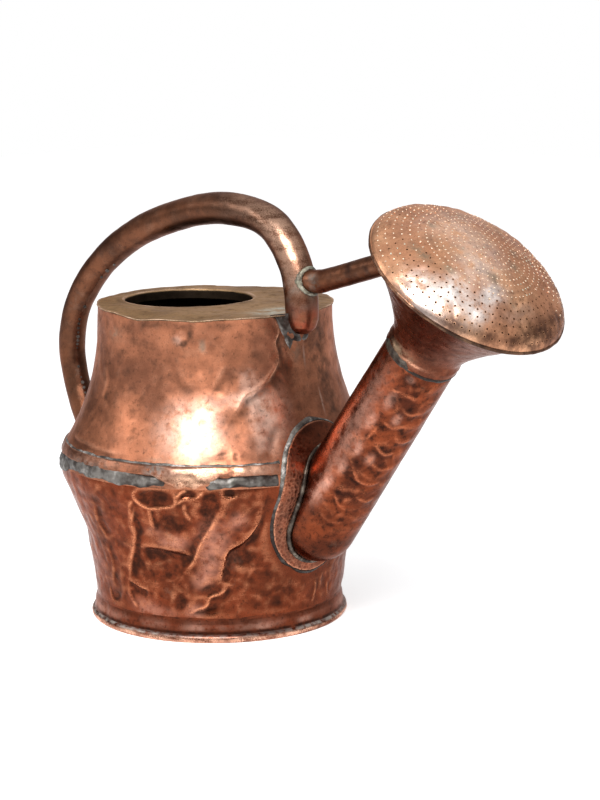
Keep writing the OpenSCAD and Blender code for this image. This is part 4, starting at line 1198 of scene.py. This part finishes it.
def stud_tree():
    """Sets a small drum on each point of the mesh it is given, square to that point's stored direction."""
    tree = group_with("studs", [("Geometry", "Geometry"), ("Width", "Float"), ("Height", "Float"),
                                ("Unevenness", "Float"), ("Sides", "Int"), ("Material", "Material")],
                      [("Geometry", "Geometry")], "GeometryNodeTree")
    w = Wires(tree)
    given = w.node("NodeGroupInput").outputs
    drum = w.node("GeometryNodeMeshCylinder", {"Vertices": given["Sides"], "Radius": given["Width"],
                                               "Depth": given["Height"]}).outputs["Mesh"]
    facing = w.node("GeometryNodeInputNamedAttribute", {"Name": "facing"}, data_type="FLOAT_VECTOR").outputs[0]
    turn = w.node("FunctionNodeAlignRotationToVector", {"Vector": facing}, axis="Z").outputs[0]
    low, high = w.math("SUBTRACT", 1.0, given["Unevenness"]), w.plus(1.0, given["Unevenness"])
    size = w.node("FunctionNodeRandomValue", {2: low, 3: high, "Seed": 5}, data_type="FLOAT").outputs[1]
    studs = w.node("GeometryNodeInstanceOnPoints", {"Points": given["Geometry"], "Instance": drum, "Rotation": turn,
                                                    "Scale": size}).outputs[0]
    solid = w.node("GeometryNodeRealizeInstances", {0: studs}).outputs[0]
    dressed = w.node("GeometryNodeSetMaterial", {0: solid, "Material": given["Material"]}).outputs[0]
    w.node("NodeGroupOutput", {0: dressed})
    return tree


studs = stud_tree()


def studs_at(name, points, facing, material=None, **sizes):
    """Runs the stud tree over a list of points in mm, and keeps the result as plain mesh."""
    mesh = bpy.data.meshes.new(name)
    mesh.from_pydata((np.asarray(points) * 0.001).tolist(), [], [])
    mesh.attributes.new("facing", "FLOAT_VECTOR", "POINT").data.foreach_set("vector", np.asarray(facing, float).ravel())
    piece = make_piece(name, mesh)
    made = piece.modifiers.new("studs", "NODES")
    made.node_group = studs
    given = dict(sizes, Material=material)
    for socket in studs.interface.items_tree:
        if socket.in_out == "INPUT" and given.get(socket.name) is not None:
            made[socket.identifier] = given[socket.name]
    return settle(piece)


def dome_facing(plan, step):
    """Direction square to the dome's face, from the direction along its outline."""
    return step[1] * round_rose(plan) - step[0] * up_spout


holes = []
for ring in range(open_rings):
    (r0, h0), step = on_dome(shoulder + (ring + 0.5) * hole_pitch)
    count = round(2 * math.pi * r0 / hole_pitch)
    for k in range(count):
        plan_at = 360 * (k + (ring % 2) / 2) / count + 90
        holes.append((rose_point(plan_at, r0, h0), dome_facing(plan_at, step), plan_at % 360, ring))
drills = studs_at("drills", [h[0] for h in holes], [h[1] for h in holes], Width=hole_d * 0.0005, Height=0.009,
                  Unevenness=0.0, Sides=12)
cut_away(face, drills, 35)
rose_copper = copper_finish("rose_face_copper", copper=(0.78, 0.415, 0.235), brown=(0.56, 0.262, 0.144),
                            dark=(0.060, 0.026, 0.018), bare_and_highlight=(0.85, 0.58, 0.43), pale=(0.97, 0.86, 0.80),
                            bloom=(0.120, 0.112, 0.075), cloud=24.0, mottle=0.34, bloom_amount=0.25, roughness=0.32)
show_as(face, rose_copper, "rose_copper", "rose_face")


# ------------------------------------------------------------------ lime in the rose
# Pale plugs of lime stand in the holes that hard water has closed: all of those near the middle,
# and those of the outer rings on the upper side, where the drops dried.

lime, w, shader = new_finish("lime_scale")
where = w.where()
chalk = w.mix(w.band(w.noise(where, 700.0, 3.0, 0.6), 0.35, 0.65), (0.52, 0.36, 0.24), (0.72, 0.58, 0.44))
chalk = w.mix(w.band(w.noise(where, 60.0, 3.0, 0.6), 0.55, 0.72), chalk, (0.36, 0.37, 0.29))
bump = w.node("ShaderNodeBump", {"Height": w.noise(where, 900.0, 3.0, 0.6), "Distance": 0.0002})
w.feed(shader, {"Base Color": chalk, "Roughness": 0.85, "Normal": bump.outputs[0]})

plugs = []
for point, out, plan_at, ring in holes:
    upper = fade(abs((plan_at - 60 + 180) % 360 - 180), 128, 96)
    if chance(int(plan_at * 7), ring, 3, 141) < upper * 0.92 + 0.04:
        plugs.append((point - 0.25 * out, out))
closed_pitch, closed_step, closed_share = 4.3, 5.0, 0.86
for ring, ring_r in enumerate(np.arange(50.0, 4.0, -closed_step)):
    (r0, h0), step = on_dome(float(np.interp(-ring_r, -dome_line[:, 0], dome_run)))
    count = max(5, round(2 * math.pi * r0 / closed_pitch))
    for k in range(count):
        if chance(k, ring, 9, 142) < closed_share:
            plan_at = 360 * (k + (ring % 2) / 2 + 0.12 * chance(k, ring, 1, 143)) / count
            raised = face_lift(round_can(plan_at, r0, 0)[None], np.array([r0]))[0] - 0.22
            plugs.append((rose_point(plan_at, r0, h0 + raised), dome_facing(plan_at, step)))
lime_dots = studs_at("lime_dots", [q[0] for q in plugs], [q[1] for q in plugs], lime, Width=hole_d * 0.00044,
                     Height=0.0008, Unevenness=0.22, Sides=8)
show_as(lime_dots, lime, "rose_copper")


# ------------------------------------------------------------------ handle
# A copper tube bent over in one long bow, from a rounded toe on the top plate's front edge to the
# rear of the lower shell. It is a rolled tube, its seam closed by solder along the inner rear side.

handle_front_r, handle_rear_r, brace_root_z = 14.5, 12.2, 309.0
handle_points = [(107, 263), (107, 275), (106, 293), (103, 311), (97, 326), (86, 342), (70, 355), (46, 362), (15, 364),
                 (-14, 361), (-45, 354), (-82, 342), (-110, 329), (-136, 313), (-160, 293), (-184, 263),
                 (-193.9, 236.9), (-195.9, 213), (-190, 185.1), (-179.1, 158), (-162.2, 130.7), (-141.2, 108),
                 (-116.4, 88), (-90.6, 70.1)]


def tube_round(flat_line, radius, sides):
    """Rings round a line of (x, z) points in the can's middle plane, with the direction out and the angle of each."""
    line = np.stack([flat_line[:, 0], 0 * flat_line[:, 0], flat_line[:, 1]], -1)
    step = np.gradient(line, axis=0)
    step = step / np.linalg.norm(step, axis=1, keepdims=True)
    sideways = np.array([0.0, 1.0, 0.0])
    across = np.cross(sideways, step)
    b = np.linspace(0, 2 * math.pi, sides, endpoint=False)
    out = np.cos(b)[None, :, None] * across[:, None] + np.sin(b)[None, :, None] * sideways
    return line[:, None] + np.asarray(radius)[:, None, None] * out, out, b


def to_caps(values):
    """Carries the values on a tube's end rings over to the middle points that close them."""
    return np.pad(values, ((1, 1), (0, 0)), mode="edge")


steps = 16
handle_line = smooth_line(handle_points, steps)
station = np.arange(len(handle_line)) / steps * 2
handle_r = handle_front_r + (handle_rear_r - handle_front_r) * np.clip((station - 12) / 24, 0, 1)
toe_round = np.interp(station, [0, 0.5, 1, 2, 3], [0.35, 0.62, 0.80, 0.95, 1.0])
rings, out, b = tube_round(handle_line, handle_r * toe_round, 64)
lift = 0.30 * rumple(rings, 30, 151) + 0.16 * rumple(rings, 10, 152) + 0.22 * (0.5 - hammer_marks(rings, 20, 153))
seam_b = math.radians(200)
inner_side = np.exp(-((np.abs((b - seam_b + math.pi) % (2 * math.pi) - math.pi)) / 0.16) ** 2)
lift = lift + 0.35 * inner_side * fade(station, 24, 28)[:, None]
rings = capped(rings + out * (lift * fade(station, 1, 6)[:, None])[..., None])
lift, far, top_line, facing_right = (to_caps(m) for m in (
    lift, station[:, None] + 0 * lift, np.clip(out[..., 2], 0, 1), out @ np.array([0.60, -0.72, 0.35])))
crest, pit = relief(lift.T, 5)
# Painted highlights: a patch on the front bend where it faces the lamp, and a line along the top of the bow.
lit_side = 0.75 * np.exp(-((far - 9.5) / 4) ** 2) * fade(facing_right, 0.35, 0.95)
top_highlight = top_line ** 3 * fade(far, 8, 14) * fade(far, 40, 30) * (0.5 + 0.5 * rumple(rings, 9, 154))
root_blotch = np.exp(-((rings[..., 2] - 300) / 16) ** 2) * (rings[..., 0] > 60) * (0.8 * rumple(rings, 8, 156) + 0.35)
rear_blotch = np.exp(-((far - 44) / 1.3) ** 2) * rumple(rings, 7, 157)
handle = closed_piece(
    "handle_tube", rings.transpose(1, 0, 2), across=False, wear=0.3 * crest + (lit_side + 0.55 * top_highlight).T,
    # Dark: hollows and dirt, and the underside painted darker as shade.
    grime=0.45 * pit + (0.5 * rumple(rings, 15, 155) - 0.05 + 0.25 * fade(top_line, 0.25, 0.0)).T,
    bloom=(root_blotch + 0.7 * rear_blotch).T,
    pale=(0.85 * fade(far, 4.5, 2.5) * (0.7 + 0.5 * rumple(rings, 8, 158))).T)
full_body = body_plug(body_h)
cut_away(handle, full_body)
handle_copper = copper_finish("handle_copper", copper=(0.165, 0.063, 0.032), brown=(0.085, 0.036, 0.020),
                              dark=(0.032, 0.016, 0.012), bare_and_highlight=(0.55, 0.34, 0.24), pale=(0.26, 0.055, 0.026),
                              bloom=(0.19, 0.18, 0.155), cloud=20.0, mottle=0.36, bloom_amount=0.12, roughness=0.36,
                              bump=0.0003)
show_as(handle, handle_copper, "handle_copper", "handle")

# blobs of solder are left along the tube's seam, on the inner side of its rear bow
seam, seam_left = [], 0.62
for k in range(26 * steps // 2, 43 * steps // 2, 3):
    turn = seam_b + math.radians(3 * math.sin(k * 0.21))
    x, z = (handle_line[k + 1] - handle_line[k - 1]) / np.linalg.norm(handle_line[k + 1] - handle_line[k - 1])
    side = np.array([z * math.cos(turn), math.sin(turn), -x * math.cos(turn)])
    if chance(k, 2, 5, 159) < seam_left:
        seam.append((np.array([handle_line[k, 0], 0, handle_line[k, 1]]) + side * (handle_r[k] + 0.35), side))
seam_dots = studs_at("handle_seam_solder", *zip(*seam), lead, Width=0.0013, Height=0.0010, Unevenness=0.45, Sides=7)
show_as(seam_dots, lead, "lead_solder")

# a ragged smear of solder holds the toe, and has run down the shell to the right-hand side of it
y, z = np.meshgrid(np.linspace(-31, 23, 120), np.linspace(236, body_h + 0.4, 100), indexing="ij")
p = np.stack([0 * y, y, z], -1)
trickle = [(-27, 283), (-22, 270), (-17, 256), (-13, 249), (-9, 257), (-3, 257), (4, 255), (10, 260), (15, 274),
           (20, 283)]
lower_line = np.interp(y, *zip(*trickle), left=290, right=290) + 1.6 * rumple(p, 8, 171)
patch = fade(z - lower_line, -2.5, 3.5) * (0.75 + 0.5 * rumple(p, 7, 173)) * fade(y, -30, -26) * fade(y, 22, 18)
runs_down = np.sin((y * 0.9 + z * 0.42) * 0.55 + 1.2 * rumple(p, 12, 176))
smear_lift = (1.5 + 0.55 * runs_down) * patch + 0.35 * rumple(p, 3, 174) * patch - 0.62
angle = np.degrees(np.arctan2(y, np.sqrt(body_r(z) ** 2 - y ** 2)))
dent = body_dents(angle.ravel(), z.ravel())[0].reshape(z.shape)
front, rear = (on_body_front(y, np.minimum(z, body_h - 0.5), lift) for lift in (smear_lift + dent, dent - 1.0))
front[..., 2] = rear[..., 2] = z
loop = capped(np.concatenate([front, rear[:, ::-1]], 1))
smear = closed_piece("handle_front_smear", loop, 60, around=False,
                     wear=0.5 * rumple(loop, 5, 175), grime=0.45 - 1.1 * rumple(loop, 7, 177))
cut_away(smear, handle)
show_as(smear, lead, "lead_solder", "handle_front_solder")
solder_from("handle_rear_fillet", "handle_rear_solder", sooty_lead, 0.8, 0.5)


# ------------------------------------------------------------------ brace
# A thinner tube that holds the rose up: a short stub soldered to the handle's front leg, a pinched
# elbow, and a straight run whose end is shaped to the back of the rose and soldered there.

brace_r, stub_x, elbow_x, elbow_bend, brace_end, land = 9.75, 104.0, 128.0, 7, 118, (226.3, 338.2)
brace_slope = math.atan2(land[1] - brace_root_z, land[0] - elbow_x)


def up_brace(far):
    """Point (x, z) on the brace's line, far mm beyond its elbow."""
    return np.array([elbow_x + far * math.cos(brace_slope), brace_root_z + far * math.sin(brace_slope)])


before, corner, after = np.array([elbow_x - elbow_bend, brace_root_z]), up_brace(0), up_brace(elbow_bend)
brace_line = np.array([(x, brace_root_z) for x in np.linspace(stub_x, elbow_x - elbow_bend, 14)]
                      + [(1 - t) ** 2 * before + 2 * t * (1 - t) * corner + t * t * after
                         for t in np.linspace(0, 1, 12)[1:-1]]
                      + [up_brace(far) for far in np.linspace(elbow_bend, brace_end, 130)])
gone = np.concatenate([[0], np.cumsum(np.linalg.norm(np.diff(brace_line, axis=0), axis=1))])
rings, out, _ = tube_round(brace_line, np.full(len(brace_line), brace_r), 48)
at_elbow = np.exp(-((gone - (elbow_x - stub_x)) / 5.5) ** 2)[:, None]
facet = np.clip(-out[..., 1] - 0.55, 0, 1) / 0.45
lift = 0.22 * rumple(rings, 18, 161) + 0.12 * rumple(rings, 6, 162) + 0.16 * (0.5 - hammer_marks(rings, 14, 163))
lift = lift - at_elbow * (1.6 * facet ** 1.2 + 0.5 * np.clip(out[..., 1] - 0.5, 0, 1) * 2 - 0.4)
rings = capped(rings + out * lift[..., None])
lift, facet, far = (to_caps(m) for m in (lift, facet, gone[:, None] + 0 * lift))
crest, pit = relief(lift.T, 4)
dark_bands = (np.exp(-((far - 66) / 3.5) ** 2) * fade(rumple(rings, 8, 164), -0.3, 0.3)
              + np.exp(-((far - 88) / 3.0) ** 2) * fade(rumple(rings, 8, 165), -0.2, 0.4))
brace = closed_piece("brace_tube", rings.transpose(1, 0, 2), across=False, wear=0.4 * crest,
                     grime=0.4 * pit + (dark_bands + 0.4 * rumple(rings, 12, 166)).T,
                     bloom=(1.3 * to_caps(at_elbow + 0 * out[..., 0]) * facet).T)
angle, s = round_grid(160, np.linspace(spout_len, rim_s, 50))
neck_plug = plug(160, heel + spout_len * up_spout, round_spout(angle, s, flare_r(s)), heel + rim_s * up_spout)
cut_away(brace, handle)
cut_away(brace, neck_plug)
show_as(brace, handle_copper, "handle_copper", "brace")
solder_from("brace_root_collar", "brace_handle_solder", limed_lead, 0.7, 0.3, 0.25)
solder_from("brace_end_fillet", "brace_rose_solder", sooty_lead, 0.7, 0.45, 0.3)
discard(bore, plain_body, full_body, spout_core, neck_plug, drills)


# ------------------------------------------------------------------ floor, light and camera
# A plain pale floor that keeps the can's shadow, one large soft lamp from the front right and a weak
# one further round to the left. The room has light and dark sides, which the copper mirrors.

floor_mesh = bpy.data.meshes.new("floor")
floor_mesh.from_pydata([(-4, -4, 0), (4, -4, 0), (4, 4, 0), (-4, 4, 0)], [], [(0, 1, 2, 3)])
floor = make_piece("floor", floor_mesh)
floor_paint, w, shader = new_finish("floor_paint")
seen = w.node("ShaderNodeLightPath").outputs
mirrored = w.plus(seen["Is Glossy Ray"], seen["Is Transmission Ray"])
w.feed(shader, {"Base Color": (0.88, 0.88, 0.88), "Roughness": 0.9, "Specular IOR Level": 0.1,
                "Emission Color": (1, 1, 1),
                "Emission Strength": w.times(w.plus(seen["Is Camera Ray"], mirrored, True), 0.62)})
floor_mesh.materials.append(floor_paint)

world = bpy.data.worlds.new("pale_room")
bpy.context.scene.world = world
world.use_nodes = True
w = Wires(world.node_tree)
seen = w.node("ShaderNodeLightPath").outputs
facing = w.node("ShaderNodeTexCoord").outputs["Generated"]


def light_side_of_room(way, low, high, level):
    """How bright the room is where it faces a given way."""
    near = w.node("ShaderNodeVectorMath", {0: facing, 1: way}, operation="DOT_PRODUCT").outputs["Value"]
    return w.times(w.band(near, low, high), level)


lit = light_side_of_room((-0.30, -0.92, 0.25), 0.60, 0.95, 0.76)
for side in (((-0.30, 0.95, 0.0), 0.35, 0.9, 0.65), ((0.98, 0.12, 0.14), 0.78, 0.96, 1.0),
             ((0.0, 0.0, 1.0), 0.40, 0.75, 0.9)):
    lit = w.math("MAXIMUM", lit, light_side_of_room(*side))
colour = w.mix(w.plus(seen["Is Glossy Ray"], seen["Is Transmission Ray"], True), (0.46, 0.46, 0.47),
               w.mix(lit, (0.10, 0.10, 0.105), (1.0, 1.0, 1.0)))
w.feed(world.node_tree.nodes["Background"], {"Color": w.mix(seen["Is Camera Ray"], colour, (1, 1, 1)), "Strength": 1.0})


def pointing(azimuth, height):
    """Direction at an angle in degrees round the can and an angle above the level."""
    az, el = math.radians(azimuth), math.radians(height)
    return Vector((math.cos(el) * math.cos(az), math.cos(el) * math.sin(az), math.sin(el)))


def softbox(name, azimuth, height, away, size, watts):
    """A flat lamp of the given width and height, aimed at the can's middle."""
    aim = Vector((0.03, 0, 0.18))
    lamp_data = bpy.data.lights.new(name, "AREA")
    lamp_data.shape, lamp_data.size, lamp_data.size_y, lamp_data.energy = "RECTANGLE", *size, watts
    lamp = bpy.data.objects.new(name, lamp_data)
    lamp.location = aim + away * pointing(azimuth, height)
    lamp.rotation_euler = (lamp.location - aim).to_track_quat("Z", "Y").to_euler()
    bpy.context.scene.collection.objects.link(lamp)


softbox("main_window", -55, 39, 1.5, (0.95, 0.42), 27)
softbox("side_window", -130, 30, 2.0, (0.8, 0.8), 7)

bpy.context.scene.view_settings.view_transform = "Standard"
camera_data = bpy.data.cameras.new("camera")
camera_data.lens, camera_data.sensor_width = 106.49, 36.0
camera = bpy.data.objects.new("camera", camera_data)
forward, roll = pointing(134.107, -10.675), math.radians(-0.492)
level = forward.cross(Vector((0, 0, 1))).normalized()
upright = level.cross(forward)
right = math.cos(roll) * level + math.sin(roll) * upright
up = math.cos(roll) * upright - math.sin(roll) * level
placed = Matrix((right, up, -forward)).transposed().to_4x4()
placed.translation = (1.49613, -1.43686, 0.58176)
camera.matrix_world = placed
bpy.context.scene.collection.objects.link(camera)
bpy.context.scene.camera = camera

bpy.context.view_layer.update()
